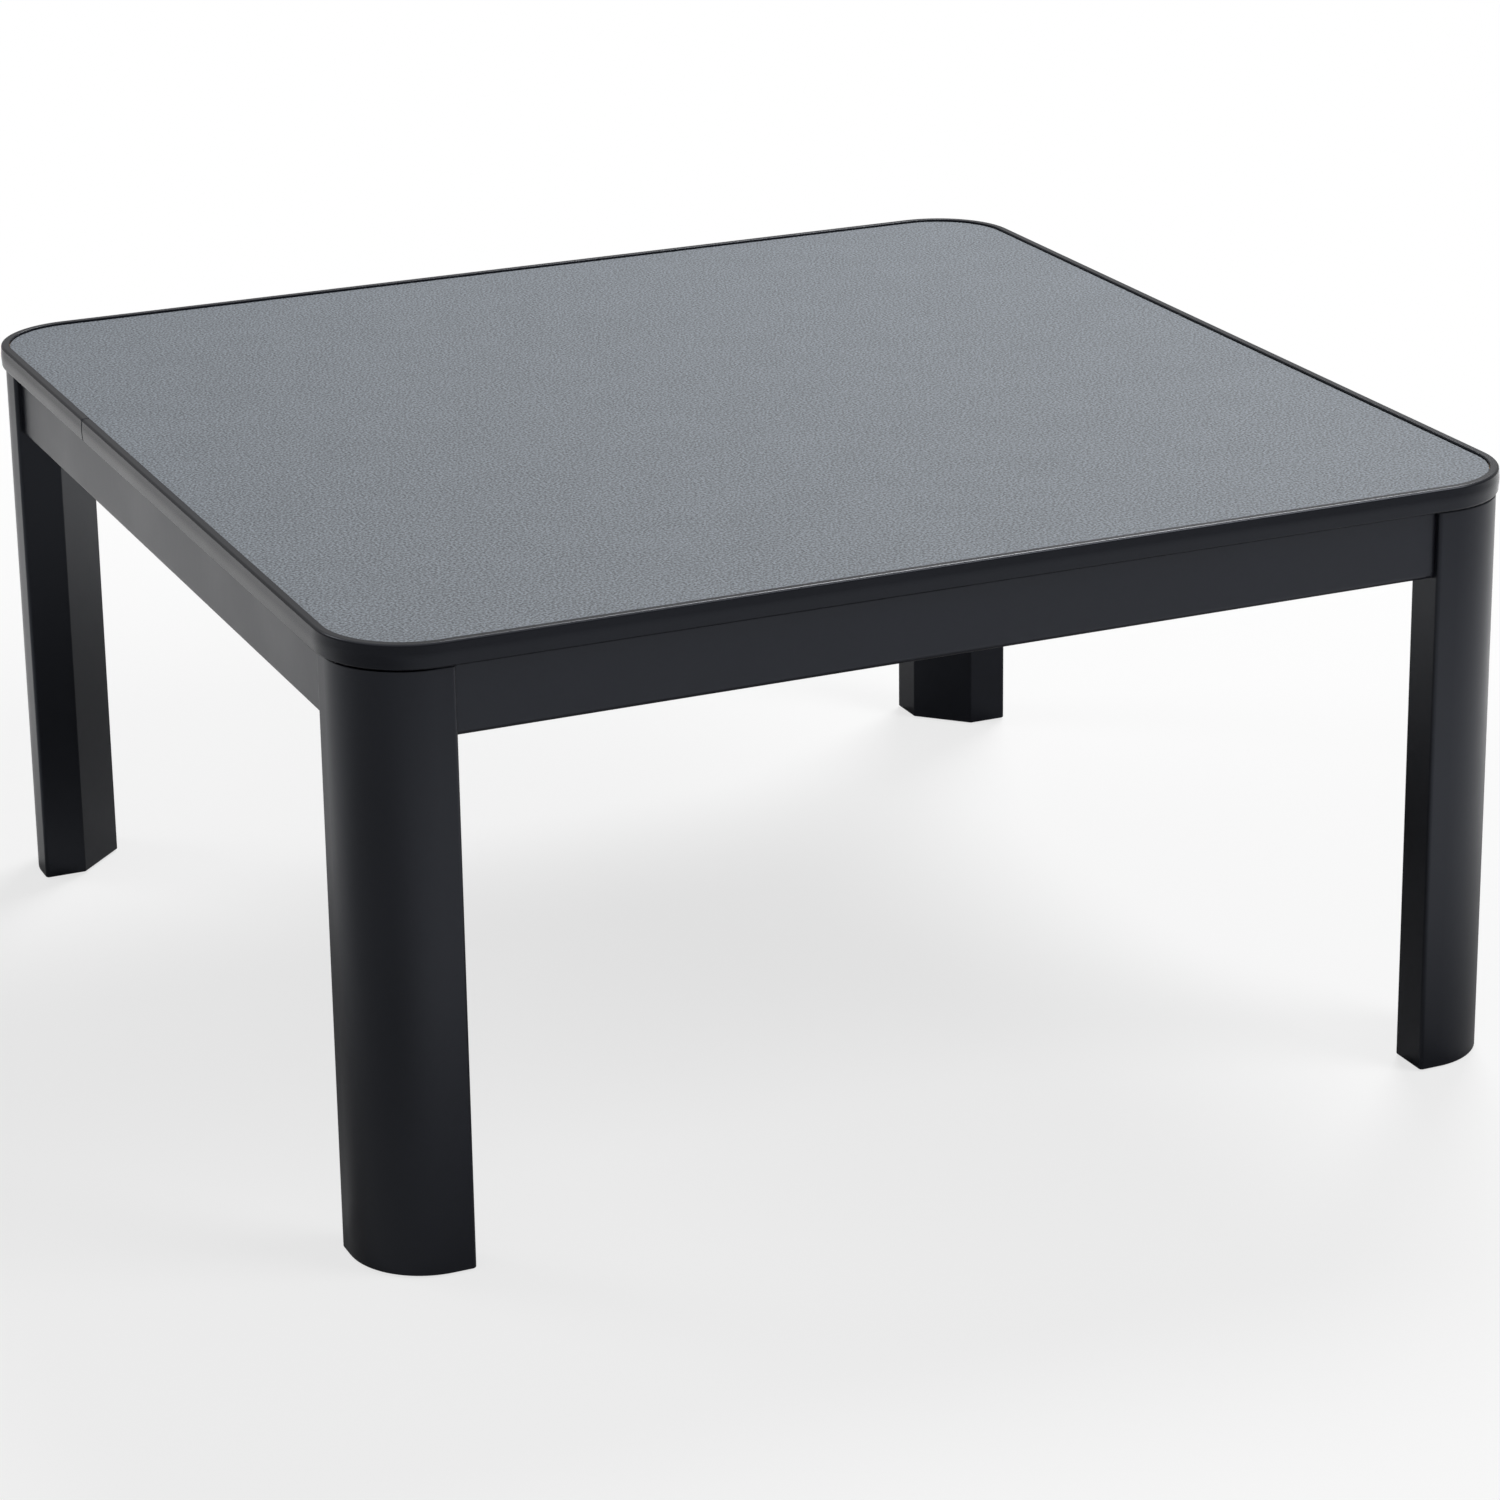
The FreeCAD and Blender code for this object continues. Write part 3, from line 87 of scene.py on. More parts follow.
# %% The camera at the photograph's place
PICTURE_SIDE = 1500
FOCAL_PIXELS = 4538.0
SENSOR_WIDTH = 36.0
LENS_SHIFT = -0.12
CAMERA_PLACE = (-1.0990, -2.5566, 1.1709)
VIEW_HEADING = -23.758
VIEW_DROP = 18.081
VIEW_ROLL = -0.773


def stand_camera():
    """A camera that looks along +Y, tips down by the drop, turns to the heading and rolls a little."""
    lens = bpy.data.cameras.new("portrait_lens")
    lens.sensor_width = SENSOR_WIDTH
    lens.lens = FOCAL_PIXELS * SENSOR_WIDTH / PICTURE_SIDE
    lens.shift_y = LENS_SHIFT
    camera = bpy.data.objects.new("portrait_camera", lens)
    turn = Matrix.Rotation(math.radians(VIEW_HEADING), 4, "Z")
    tip = Matrix.Rotation(math.radians(90 - VIEW_DROP), 4, "X")
    roll = Matrix.Rotation(math.radians(VIEW_ROLL), 4, "Z")
    camera.matrix_world = Matrix.Translation(CAMERA_PLACE) @ turn @ tip @ roll
    bpy.context.scene.collection.objects.link(camera)
    bpy.context.scene.camera = camera
    return camera


camera = stand_camera()
print("lens:", round(camera.data.lens, 2), "mm")

# %% [markdown]
# ## The room
#
# The photograph has a white ground. Extra light would bleach the table, so the white comes from
# the ground itself: rays that come straight from the camera find a world of strength 1, while the
# light that falls on the table is weaker.
#
# Black surfaces show their surroundings more than themselves. The photograph's faces tell what
# those were: the left faces mirror a bright floor behind, the front faces a middling floor in
# front, and the inner faces of the legs a dark floor under the table. The round corner of the front
# left leg mirrors a dim patch of floor beside it, and the moulding's rounded rim a bright ceiling.
# So the strongest lamp stands behind the table, and shiny surfaces see a calmer world than the
# camera does, with these four places in it. The dark floor under the table and the dim patch beside
# the leg are painted shade: the floor's colour is made darker there, and only reflections show it.
# They belong to the room: from any other side the same floor and the same ceiling are mirrored.

# %% Nodes in a few words
def add(tree, kind, **inputs):
    """A node of that kind, with the named inputs set."""
    node = tree.nodes.new(kind)
    for name, value in inputs.items():
        node.inputs[name.replace("_", " ")].default_value = value
    return node


def link(tree, source, target):
    tree.links.new(source, target)


def ray_share(tree, *kinds):
    """1 for rays of these kinds, 0 for all others."""
    rays = add(tree, "ShaderNodeLightPath")
    total = rays.outputs[f"Is {kinds[0]} Ray"]
    for kind in kinds[1:]:
        larger = add(tree, "ShaderNodeMath")
        larger.operation = "MAXIMUM"
        link(tree, total, larger.inputs[0])
        link(tree, rays.outputs[f"Is {kind} Ray"], larger.inputs[1])
        total = larger.outputs[0]
    return total


def soft_rise(tree, value, start_end, low_high):
    """Map of a value from start..end to low..high, clamped, with a soft start and end."""
    rise = add(tree, "ShaderNodeMapRange", From_Min=start_end[0], From_Max=start_end[1])
    rise.inputs["To Min"].default_value, rise.inputs["To Max"].default_value = low_high
    rise.interpolation_type = "SMOOTHSTEP"
    link(tree, value, rise.inputs["Value"])
    return rise.outputs[0]


def product(tree, first, second):
    """Two values multiplied."""
    node = add(tree, "ShaderNodeMath")
    node.operation = "MULTIPLY"
    link(tree, first, node.inputs[0])
    link(tree, second, node.inputs[1])
    return node.outputs[0]


def chosen(tree, share, first, second):
    """Mix of two shaders by a share."""
    mix = add(tree, "ShaderNodeMixShader")
    link(tree, share, mix.inputs[0])
    link(tree, first.outputs[0], mix.inputs[1])
    link(tree, second.outputs[0], mix.inputs[2])
    return mix


# %% The world and the lamps
SKY_LIGHT = 0.25
SKY_IN_GLOSS = 0.42
ZENITH_IN_GLOSS = 1.3
ZENITH_FROM = 0.45
ZENITH_TO = 0.90
WHITE = (1, 1, 1, 1)
LAMPS = {
    "back_right_softbox": ((1.7, 1.8, 3.0), 1.5, 94.0),
    "back_left_softbox": ((-2.2, 1.8, 2.7), 1.4, 19.0),
    "front_right_fill": ((1.7, -1.7, 2.4), 1.5, 38.0),
}


def light_the_room():
    """White for the camera, gray for light, gray with a bright zenith for gloss, and softboxes."""
    world = bpy.data.worlds.new("white_room")
    world.use_nodes = True
    tree = world.node_tree
    sky = tree.nodes["Background"]
    sky.inputs["Color"].default_value = WHITE
    sky.inputs["Strength"].default_value = SKY_LIGHT
    mirrored = add(tree, "ShaderNodeBackground", Color=WHITE)
    way = add(tree, "ShaderNodeSeparateXYZ")
    link(tree, add(tree, "ShaderNodeTexCoord").outputs["Generated"], way.inputs[0])
    glow = soft_rise(tree, way.outputs["Z"], (ZENITH_FROM, ZENITH_TO), (SKY_IN_GLOSS, ZENITH_IN_GLOSS))
    link(tree, glow, mirrored.inputs["Strength"])
    white = add(tree, "ShaderNodeBackground", Color=WHITE, Strength=1.0)
    seen = chosen(tree, ray_share(tree, "Glossy", "Transmission"), sky, mirrored)
    seen = chosen(tree, ray_share(tree, "Camera"), seen, white)
    link(tree, seen.outputs[0], tree.nodes["World Output"].inputs["Surface"])
    bpy.context.scene.world = world
    target = Vector((0, 0, CAD_BOX[1].z))
    for name, (place, size, power) in LAMPS.items():
        lamp = bpy.data.lights.new(name, "AREA")
        lamp.shape = "DISK"
        lamp.size = size
        lamp.energy = power
        holder = bpy.data.objects.new(name, lamp)
        aim = (target - Vector(place)).to_track_quat("-Z", "Y").to_matrix().to_4x4()
        holder.matrix_world = Matrix.Translation(place) @ aim
        bpy.context.scene.collection.objects.link(holder)


light_the_room()
bpy.context.scene.view_settings.view_transform = "Standard"

# %% The floor
FLOOR_RADIUS = 9.0
FLOOR_STEPS = 96
FLOOR_PAPER = 0.80
SHADOW_RADIUS = 0.7
WHITE_RADIUS = 1.7
WHITE_SHARE = 0.72
# Painted shade: the floor's colour, as reflections see it, darkens under the table and beside a leg.
PAINTED_SHADE_CENTRE = (0.14, 0.04, 0.0)
PAINTED_SHADE_NEAR = 0.34
PAINTED_SHADE_FAR = 0.86
PAINTED_SHADE_SHARE = 0.27
PAINTED_DIM_CENTRE = (-1.05, -0.60, 0.0)
PAINTED_DIM_NEAR = 0.36
PAINTED_DIM_FAR = 0.82
PAINTED_DIM_SHARE = 0.50
GLOSS_NEAR = 1.4
GLOSS_FAR = 3.2


def far_share(tree, near, far, least=0.0, centre=(0.0, 0.0, 0.0)):
    """Share that grows from its least value, near the centre, to 1 at the far distance from it."""
    place = add(tree, "ShaderNodeTexCoord")
    distance = add(tree, "ShaderNodeVectorMath")
    distance.operation = "DISTANCE"
    distance.inputs[1].default_value = centre
    link(tree, place.outputs["Object"], distance.inputs[0])
    return soft_rise(tree, distance.outputs["Value"], (near, far), (least, 1.0))


def lay_floor():
    """A disc at the glides' height: for the camera paper with a faint shadow, for gloss calmer.

    The camera's share of plain white grows with the distance from the middle. What gloss sees is the
    paper times the dark share under the table and the dim share beside it, a painted shade in its
    colour, and the calm sky far out.
    """
    angles = np.linspace(0, 2 * np.pi, FLOOR_STEPS, endpoint=False)
    rim = np.stack([np.cos(angles), np.sin(angles), 0 * angles], axis=1) * FLOOR_RADIUS
    rim[:, 2] = CAD_BOX[0].z
    mesh = bpy.data.meshes.new("floor")
    mesh.from_pydata(rim.tolist(), [], [list(range(len(rim)))])
    floor = bpy.data.objects.new("floor", mesh)
    bpy.context.scene.collection.objects.link(floor)
    material = bpy.data.materials.new("floor_paper")
    material.use_nodes = True
    tree = material.node_tree
    tree.nodes.clear()
    paper = add(tree, "ShaderNodeBsdfDiffuse", Color=(FLOOR_PAPER, FLOOR_PAPER, FLOOR_PAPER, 1))
    white = add(tree, "ShaderNodeEmission", Color=WHITE, Strength=1.0)
    calm = add(tree, "ShaderNodeEmission", Color=WHITE, Strength=SKY_IN_GLOSS)
    shown = chosen(tree, far_share(tree, SHADOW_RADIUS, WHITE_RADIUS, WHITE_SHARE), paper, white)
    shaded = add(tree, "ShaderNodeBsdfDiffuse")
    # Painted shade: the reflected floor's colour is made darker under the table and beside it.
    dark = far_share(tree, PAINTED_SHADE_NEAR, PAINTED_SHADE_FAR, PAINTED_SHADE_SHARE, PAINTED_SHADE_CENTRE)
    dim = far_share(tree, PAINTED_DIM_NEAR, PAINTED_DIM_FAR, PAINTED_DIM_SHARE, PAINTED_DIM_CENTRE)
    link(tree, product(tree, dark, dim), shaded.inputs["Color"])
    mirrored = chosen(tree, far_share(tree, GLOSS_NEAR, GLOSS_FAR), shaded, calm)
    seen = chosen(tree, ray_share(tree, "Glossy", "Transmission"), paper, mirrored)
    seen = chosen(tree, ray_share(tree, "Camera"), seen, shown)
    result = add(tree, "ShaderNodeOutputMaterial")
    link(tree, seen.outputs[0], result.inputs["Surface"])
    mesh.materials.append(material)


lay_floor()
print("floor at height", round(CAD_BOX[0].z, 5))

# %% [markdown]
# ## Finishes
#
# A real surface is never one flat colour. Lacquer has a faint orange peel, moulded plastic a fine
# grain, zinc a mottle. Each finish starts from the same shader and adds two or three patterns in
# object coordinates, so that they have a size in metres and stay in place on the piece. Colour
# that changes goes through nodes. What is the same everywhere is set on the shader itself.

# %% The common start of a finish
FINISHES = {}
COLOUR_SOCKETS = (6, 7, 2)


def new_finish(name, **shader_inputs):
    """A material with one Principled shader. Returns its tree, shader and object coordinates."""
    material = bpy.data.materials.new(name)
    material.use_nodes = True
    tree = material.node_tree
    tree.nodes.clear()
    shader = add(tree, "ShaderNodeBsdfPrincipled", **shader_inputs)
    result = add(tree, "ShaderNodeOutputMaterial")
    link(tree, shader.outputs[0], result.inputs["Surface"])
    place = add(tree, "ShaderNodeTexCoord").outputs["Object"]
    FINISHES[name] = material
    return tree, shader, place


def stretched(tree, place, scale):
    """Coordinates multiplied by a factor for each axis."""
    mapping = add(tree, "ShaderNodeMapping", Scale=scale)
    link(tree, place, mapping.inputs["Vector"])
    return mapping.outputs[0]


def noise(tree, place, grain, detail=2.0, roughness=0.5):
    """Cloudy noise from 0 to 1, whose blobs are about one grain across, in metres."""
    texture = add(tree, "ShaderNodeTexNoise", Scale=1 / grain, Detail=detail, Roughness=roughness)
    link(tree, place, texture.inputs["Vector"])
    return texture.outputs["Fac"]


def cell_tones(tree, place, grain):
    """One random gray for each cell, with about one cell per grain, in metres."""
    texture = add(tree, "ShaderNodeTexVoronoi", Scale=1 / grain)
    link(tree, place, texture.inputs["Vector"])
    gray = add(tree, "ShaderNodeRGBToBW")
    link(tree, texture.outputs["Color"], gray.inputs[0])
    return gray.outputs[0]


def spread(tree, value, low, high, start=0.3, end=0.7):
    """Straight map of a value from start..end to low..high, clamped."""
    node = add(tree, "ShaderNodeMapRange", From_Min=start, From_Max=end, To_Min=low, To_Max=high)
    link(tree, value, node.inputs["Value"])
    return node.outputs[0]


def mixed(tree, share, dark, light):
    """Colour between dark and light, by a share from 0 to 1."""
    node = add(tree, "ShaderNodeMix")
    node.data_type = "RGBA"
    link(tree, share, node.inputs["Factor"])
    first, second, result = COLOUR_SOCKETS
    node.inputs[first].default_value = (*dark, 1)
    node.inputs[second].default_value = (*light, 1)
    return node.outputs[result]


def added(tree, first, second, weight=1.0):
    """First value plus weight times the second."""
    node = add(tree, "ShaderNodeMath")
    node.operation = "MULTIPLY_ADD"
    link(tree, second, node.inputs[0])
    node.inputs[1].default_value = weight
    link(tree, first, node.inputs[2])
    return node.outputs[0]


def relief(tree, shader, height, depth):
    """Bump whose full height is depth, in metres."""
    bump = add(tree, "ShaderNodeBump", Distance=depth, Strength=1.0)
    link(tree, height, bump.inputs["Height"])
    link(tree, bump.outputs[0], shader.inputs["Normal"])


# %% [markdown]
# ### Pebbled laminate
#
# The board's sheets are printed melamine, pressed against a pebbled plate. Up close the gray is a
# sand of lighter and darker grains of one to two millimetres, and each grain is a small bump, so
# the sheen breaks up. One noise gives the pebbles, a finer one the sand between them, and a slow
# cloud keeps the large field from looking printed.

# %% The laminate's finish
PEBBLE = 1.5 * MM
PEBBLE_DEPTH = 0.05 * MM
SAND = 0.9 * MM
SAND_WEIGHT = 0.40
CLOUD = 28 * MM
CLOUD_WEIGHT = 0.06


def laminate_finish(name, dark, light):
    """Tone = pebbles + sand + cloud. It sets colour and height alike, and the sand sets the sheen."""
    tree, shader, place = new_finish(name, IOR=1.36)
    pebbles = noise(tree, place, PEBBLE, 1.0, 0.5)
    sand = noise(tree, place, SAND, 2.0, 0.6)
    cloud = noise(tree, place, CLOUD, 3.0)
    tone = added(tree, pebbles, sand, SAND_WEIGHT)
    tone = added(tree, tone, cloud, CLOUD_WEIGHT)
    colour = mixed(tree, spread(tree, tone, 0, 1, 0.55, 0.91), dark, light)
    link(tree, colour, shader.inputs["Base Color"])
    link(tree, spread(tree, sand, 0.64, 0.80), shader.inputs["Roughness"])
    relief(tree, shader, tone, PEBBLE_DEPTH)


laminate_finish("laminate", (0.068, 0.075, 0.084), (0.258, 0.286, 0.320))
laminate_finish("reverse_laminate", (0.055, 0.061, 0.067), (0.230, 0.248, 0.268))
print("laminate grain:", PEBBLE / MM, "mm")

# %% [markdown]
# ### Black lacquer, moulding and other blacks
#
# The blacks differ in sheen more than in colour. The frame's lacquer is sprayed: a slow orange peel
# of some millimetres and a trace of dust. The edge moulding is extruded plastic, smoother than the
# lacquer, so that it mirrors the room in long clear bands. The guard is baked paint with a fine
# grain.

# %% The blacks
COOL_SHEEN = (0.83, 0.88, 1.0, 1.0)
COAT_CLOUD = 90 * MM
CLOUD_LIFT = 1.35
DUST_PER_GRAIN = 12


def black_finish(name, base, sheen, grain, depth, ior=1.45):
    """Dark coat with a cool sheen: base colour, roughness range, and a slow and a fine relief."""
    tree, shader, place = new_finish(name, IOR=ior, Specular_Tint=COOL_SHEEN)
    slow = noise(tree, place, grain, 1.0)
    fine = noise(tree, place, grain / DUST_PER_GRAIN, 2.0, 0.6)
    cloud = noise(tree, place, COAT_CLOUD, 3.0)
    lighter = tuple(CLOUD_LIFT * part for part in base)
    link(tree, mixed(tree, spread(tree, cloud, 0, 1), base, lighter), shader.inputs["Base Color"])
    link(tree, spread(tree, added(tree, cloud, fine, 0.3), *sheen), shader.inputs["Roughness"])
    relief(tree, shader, added(tree, slow, fine, 0.12), depth)


black_finish("frame_lacquer", (0.0040, 0.0043, 0.0068), (0.27, 0.34), 7 * MM, 0.030 * MM, 1.46)
black_finish("moulding", (0.0034, 0.0037, 0.0058), (0.20, 0.27), 2.5 * MM, 0.010 * MM, 1.37)
black_finish("guard_paint", (0.0120, 0.0120, 0.0125), (0.42, 0.55), 1.2 * MM, 0.03 * MM)
black_finish("inlet_plastic", (0.0130, 0.0130, 0.0140), (0.40, 0.50), 1.0 * MM, 0.02 * MM)
black_finish("glide_plastic", (0.0180, 0.0180, 0.0190), (0.45, 0.60), 1.5 * MM, 0.02 * MM)
black_finish("pad_rubber", (0.0150, 0.0150, 0.0150), (0.70, 0.85), 0.8 * MM, 0.04 * MM)

# %% [markdown]
# ### Woods
#
# The rails under the board are softwood stained dark, so their grain still shows as streaks along
# their length. The dowels are plain beech. The board's core is pressed chips, which are flat flakes
# of many tones.

# %% Stained rails, dowels and core
GRAIN_DRAW = 0.05
STREAK = 2.2 * MM
YEAR_BAND = 11 * MM
FLAKE = 2.4 * MM
CHIP_DUST = 0.6 * MM


def wood_finish(name, dark, light, along, sheen):
    """Streaks: noise squeezed across the grain and drawn out along one axis."""
    tree, shader, place = new_finish(name, IOR=1.45)
    scale = tuple(GRAIN_DRAW if axis == along else 1.0 for axis in "XYZ")
    drawn = stretched(tree, place, scale)
    streaks = noise(tree, drawn, STREAK, 4.0, 0.65)
    bands = noise(tree, drawn, YEAR_BAND, 2.0)
    tone = spread(tree, added(tree, streaks, bands, 0.5), 0, 1, 0.45, 1.0)
    link(tree, mixed(tree, tone, dark, light), shader.inputs["Base Color"])
    link(tree, spread(tree, streaks, *sheen), shader.inputs["Roughness"])
    relief(tree, shader, streaks, 0.08 * MM)


def chip_finish(name):
    """Flakes in flat cells, each with its own tone, and fine dust between them."""
    tree, shader, place = new_finish(name, Roughness=0.85, IOR=1.4)
    flakes = cell_tones(tree, stretched(tree, place, (1.0, 1.0, 2.5)), FLAKE)
    dust = noise(tree, place, CHIP_DUST, 3.0)
    tone = added(tree, flakes, dust, 0.4)
    share = spread(tree, tone, 0, 1, 0.2, 1.2)
    link(tree, mixed(tree, share, (0.22, 0.13, 0.07), (0.62, 0.45, 0.28)), shader.inputs["Base Color"])
    relief(tree, shader, tone, 0.15 * MM)


for rail, along in (("rail_wood", "Y"), ("cross_rail_wood", "X")):
    wood_finish(rail, (0.010, 0.009, 0.008), (0.032, 0.027, 0.023), along, (0.45, 0.62))
wood_finish("dowel_wood", (0.42, 0.27, 0.15), (0.66, 0.47, 0.29), "X", (0.6, 0.75))
chip_finish("core_board")

# %% [markdown]
# ### Metals
#
# Zinc plate is a soft silver with a faint mottle. The reflector is polished aluminium with rolling
# lines. The casing is coated sheet, whose zinc crystals show as flat patches that catch the light
# by turns. The winding has a dark oxide, and the terminals are nickel over brass.

# %% The metals
CRYSTAL = 9 * MM
COAT_GRAIN = 0.7 * MM


def metal_finish(name, dark, light, sheen, grain, depth, stretch):
    """Bare or plated metal: two tones and a roughness that follow one stretched noise."""
    tree, shader, place = new_finish(name, Metallic=1.0)
    drawn = stretched(tree, place, stretch)
    mottle = noise(tree, drawn, grain, 3.0, 0.6)
    link(tree, mixed(tree, spread(tree, mottle, 0, 1), dark, light), shader.inputs["Base Color"])
    link(tree, spread(tree, mottle, *sheen), shader.inputs["Roughness"])
    relief(tree, shader, mottle, depth)


def spangle_finish(name, dark, light):
    """Crystals as cells of about 9 mm, each with its own tone and sheen, under a dull coat."""
    tree, shader, place = new_finish(name, Metallic=0.85)
    crystals = cell_tones(tree, place, CRYSTAL)
    fine = noise(tree, place, COAT_GRAIN, 2.0)
    tone = added(tree, crystals, fine, 0.25)
    link(tree, mixed(tree, spread(tree, tone, 0, 1, 0.2, 1.0), dark, light), shader.inputs["Base Color"])
    link(tree, spread(tree, tone, 0.34, 0.52, 0.2, 1.0), shader.inputs["Roughness"])
    relief(tree, shader, fine, 0.01 * MM)


PLAIN, ROLLED, DRAWN = (1.0, 1.0, 1.0), (1.0, 0.03, 1.0), (1.0, 0.1, 1.0)
METALS = {
    "zinc_steel": ((0.50, 0.51, 0.53), (0.66, 0.67, 0.69), (0.28, 0.42), 3.0, 0.01, PLAIN),
    "reflector_metal": ((0.78, 0.79, 0.80), (0.86, 0.87, 0.88), (0.10, 0.20), 1.2, 0.004, ROLLED),
    "resistance_wire": ((0.10, 0.09, 0.085), (0.22, 0.20, 0.19), (0.40, 0.60), 0.8, 0.01, PLAIN),
    "terminal_metal": ((0.62, 0.55, 0.40), (0.74, 0.68, 0.54), (0.22, 0.34), 1.5, 0.005, PLAIN),
    "spring_steel": ((0.42, 0.42, 0.43), (0.56, 0.56, 0.57), (0.26, 0.38), 1.5, 0.006, DRAWN),
}
for name, (dark, light, sheen, grain, depth, stretch) in METALS.items():
    metal_finish(name, dark, light, sheen, grain * MM, depth * MM, stretch)
spangle_finish("casing_steel", (0.40, 0.41, 0.42), (0.60, 0.61, 0.62))

# %% [markdown]
# ### Ceramic, glass fibre and quartz
#
# The tube's holders are unglazed ceramic, the inner leads wear braided glass sleeves, and the
# casing is lined with a fibre sheet. The quartz tube is clear, so that the winding shows inside.

# %% Ceramic, fibres, sleeves and quartz
BROWN_PLASTIC = ((0.045, 0.020, 0.011), (0.075, 0.034, 0.018))


def matt_finish(name, dark, light, grain, depth, sheen=(0.75, 0.9)):
    """Dull light material: specks of two tones over a fine relief."""
    tree, shader, place = new_finish(name, IOR=1.45)
    specks = noise(tree, place, grain, 4.0, 0.7)
    link(tree, mixed(tree, spread(tree, specks, 0, 1), dark, light), shader.inputs["Base Color"])
    link(tree, spread(tree, specks, *sheen), shader.inputs["Roughness"])
    relief(tree, shader, specks, depth)


def braid_finish(name, dark, light, strand):
    """Two families of slanting strands, one over the other."""
    tree, shader, place = new_finish(name, IOR=1.45)
    families = []
    for slant in ((1.0, 1.0, 1.0), (1.0, -1.0, 1.0)):
        wave = add(tree, "ShaderNodeTexWave", Scale=0.16 / strand, Distortion=0.4)
        wave.bands_direction = "DIAGONAL"
        link(tree, stretched(tree, place, slant), wave.inputs["Vector"])
        families.append(wave.outputs["Fac"])
    over = add(tree, "ShaderNodeMath")
    over.operation = "MAXIMUM"
    link(tree, families[0], over.inputs[0])
    link(tree, families[1], over.inputs[1])
    link(tree, mixed(tree, over.outputs[0], dark, light), shader.inputs["Base Color"])
    link(tree, spread(tree, over.outputs[0], 0.7, 0.9, 0, 1), shader.inputs["Roughness"])
    relief(tree, shader, over.outputs[0], 0.15 * MM)


def quartz_finish():
    """Clear quartz with faint drawing marks in its sheen."""
    clear = {"Base_Color": (0.97, 0.98, 0.99, 1), "IOR": 1.46, "Transmission_Weight": 1.0}
    tree, shader, place = new_finish("quartz", **clear)
    marks = noise(tree, stretched(tree, place, (0.05, 1.0, 1.0)), 1.0 * MM, 2.0)
    link(tree, spread(tree, marks, 0.01, 0.05), shader.inputs["Roughness"])
    relief(tree, shader, marks, 0.003 * MM)


matt_finish("ceramic", (0.66, 0.62, 0.54), (0.80, 0.77, 0.70), 0.8 * MM, 0.03 * MM)
matt_finish("insulation", (0.50, 0.47, 0.38), (0.74, 0.71, 0.62), 1.6 * MM, 0.30 * MM)
matt_finish("fuse_sleeve", (0.60, 0.57, 0.48), (0.70, 0.67, 0.58), 2.0 * MM, 0.01 * MM, (0.3, 0.4))
matt_finish("thermostat_plastic", *BROWN_PLASTIC, 1.0 * MM, 0.02 * MM, (0.35, 0.45))
braid_finish("lead_sleeve", (0.50, 0.47, 0.40), (0.80, 0.77, 0.70), 0.6 * MM)
quartz_finish()
print("finishes:", len(FINISHES))

# %% [markdown]
# ## Shapes from arrays
#
# Every new piece is a surface over a grid of points. Two ideas cover nearly all of them. An
# outline with round corners gives points and, at each point, the direction that faces outwards.
# Moving the points along those directions makes a parallel outline, which is how an edge is
# rounded or a strip gets its thickness. And a section carried round such an outline makes a
# moulding. The arrays are worked out whole, and Blender gets the finished points and faces.

# %% Outlines with round corners
ARC_STEPS = 12
FLAT_LEAD = 0.8 * MM


def unit(vectors):
    """Vectors divided by their lengths."""
    return vectors / np.linalg.norm(vectors, axis=-1, keepdims=True)


def rounded_line(corners, closed=True, steps=ARC_STEPS, lead=FLAT_LEAD):
    """Points and outward directions of an outline through (x, y, radius) corners.

    The inside lies to the left of the way round. At a corner the way turns by an angle a, to the
    left if a is positive. The arc begins radius * tan(|a| / 2) before the corner, its centre lies
    one radius to the side that it turns to, and its points are centre +- radius * n, where n turns
    evenly from the first side's outward direction to the next one's. One more point, a short lead
    before and after each arc, keeps the flat sides flat when the mesh is shaded smooth.
    """
    spots = np.array([corner[:2] for corner in corners], float)
    radii = [corner[2] for corner in corners]
    points = []
    outward = []
    for index, (spot, radius) in enumerate(zip(spots, radii)):
        if not closed and index in (0, len(spots) - 1):
            beside = spots[1] - spots[0] if index == 0 else spots[-1] - spots[-2]
            way = unit(beside)
            points.append(spot[None])
            outward.append(np.array([[way[1], -way[0]]]))
            continue
        before = unit(spot - spots[index - 1])
        after = unit(spots[(index + 1) % len(spots)] - spot)
        turn = math.atan2(before[0] * after[1] - before[1] * after[0], before @ after)
        side = math.copysign(1, turn)
        run = radius * math.tan(abs(turn) / 2)
        first = np.array([before[1], -before[0]])
        last = np.array([after[1], -after[0]])
        centre = spot - before * run - first * radius * side
        angles = math.atan2(first[1], first[0]) + turn * np.linspace(0, 1, steps + 1)
        ways = np.stack([np.cos(angles), np.sin(angles)], axis=1)
        arc = centre + ways * radius * side
        points.append(np.concatenate([[arc[0] - before * lead], arc, [arc[-1] + after * lead]]))
        outward.append(np.concatenate([[first], ways, [last]]))
    return np.concatenate(points), np.concatenate(outward)


# %% [markdown]
# A grid of points needs faces, and a closed body needs lids. The faces of a grid follow from
# counting: point (row, column) has number row * columns + column. A lid is one flat face over a
# whole outline. At the end the volume tells whether the faces point outwards: the sum of the
# signed volumes between the origin and each triangle is negative when they point inwards.

# %% Grids, lids and finished pieces
SLOTS = {part["node"]: part["material_slot"] for part in frame["record"]["subparts"]}


def grid_faces(rows, columns, around=False):
    """Four-sided faces of a grid. With around, the last column joins the first."""
    spans = columns if around else columns - 1
    row, column = np.meshgrid(np.arange(rows - 1), np.arange(spans), indexing="ij")
    row, column = row.ravel() * columns, column.ravel()
    beside, after = (column + 1) % columns, row + columns
    return np.stack([row + column, row + beside, after + beside, after + column], axis=1).tolist()


def hoop(grid):
    """Closed surface of a grid whose last row joins the first and whose last column joins the first."""
    grid = np.concatenate([grid, grid[:1]])
    return welded((grid.reshape(-1, 3), grid_faces(*grid.shape[:2], around=True)))


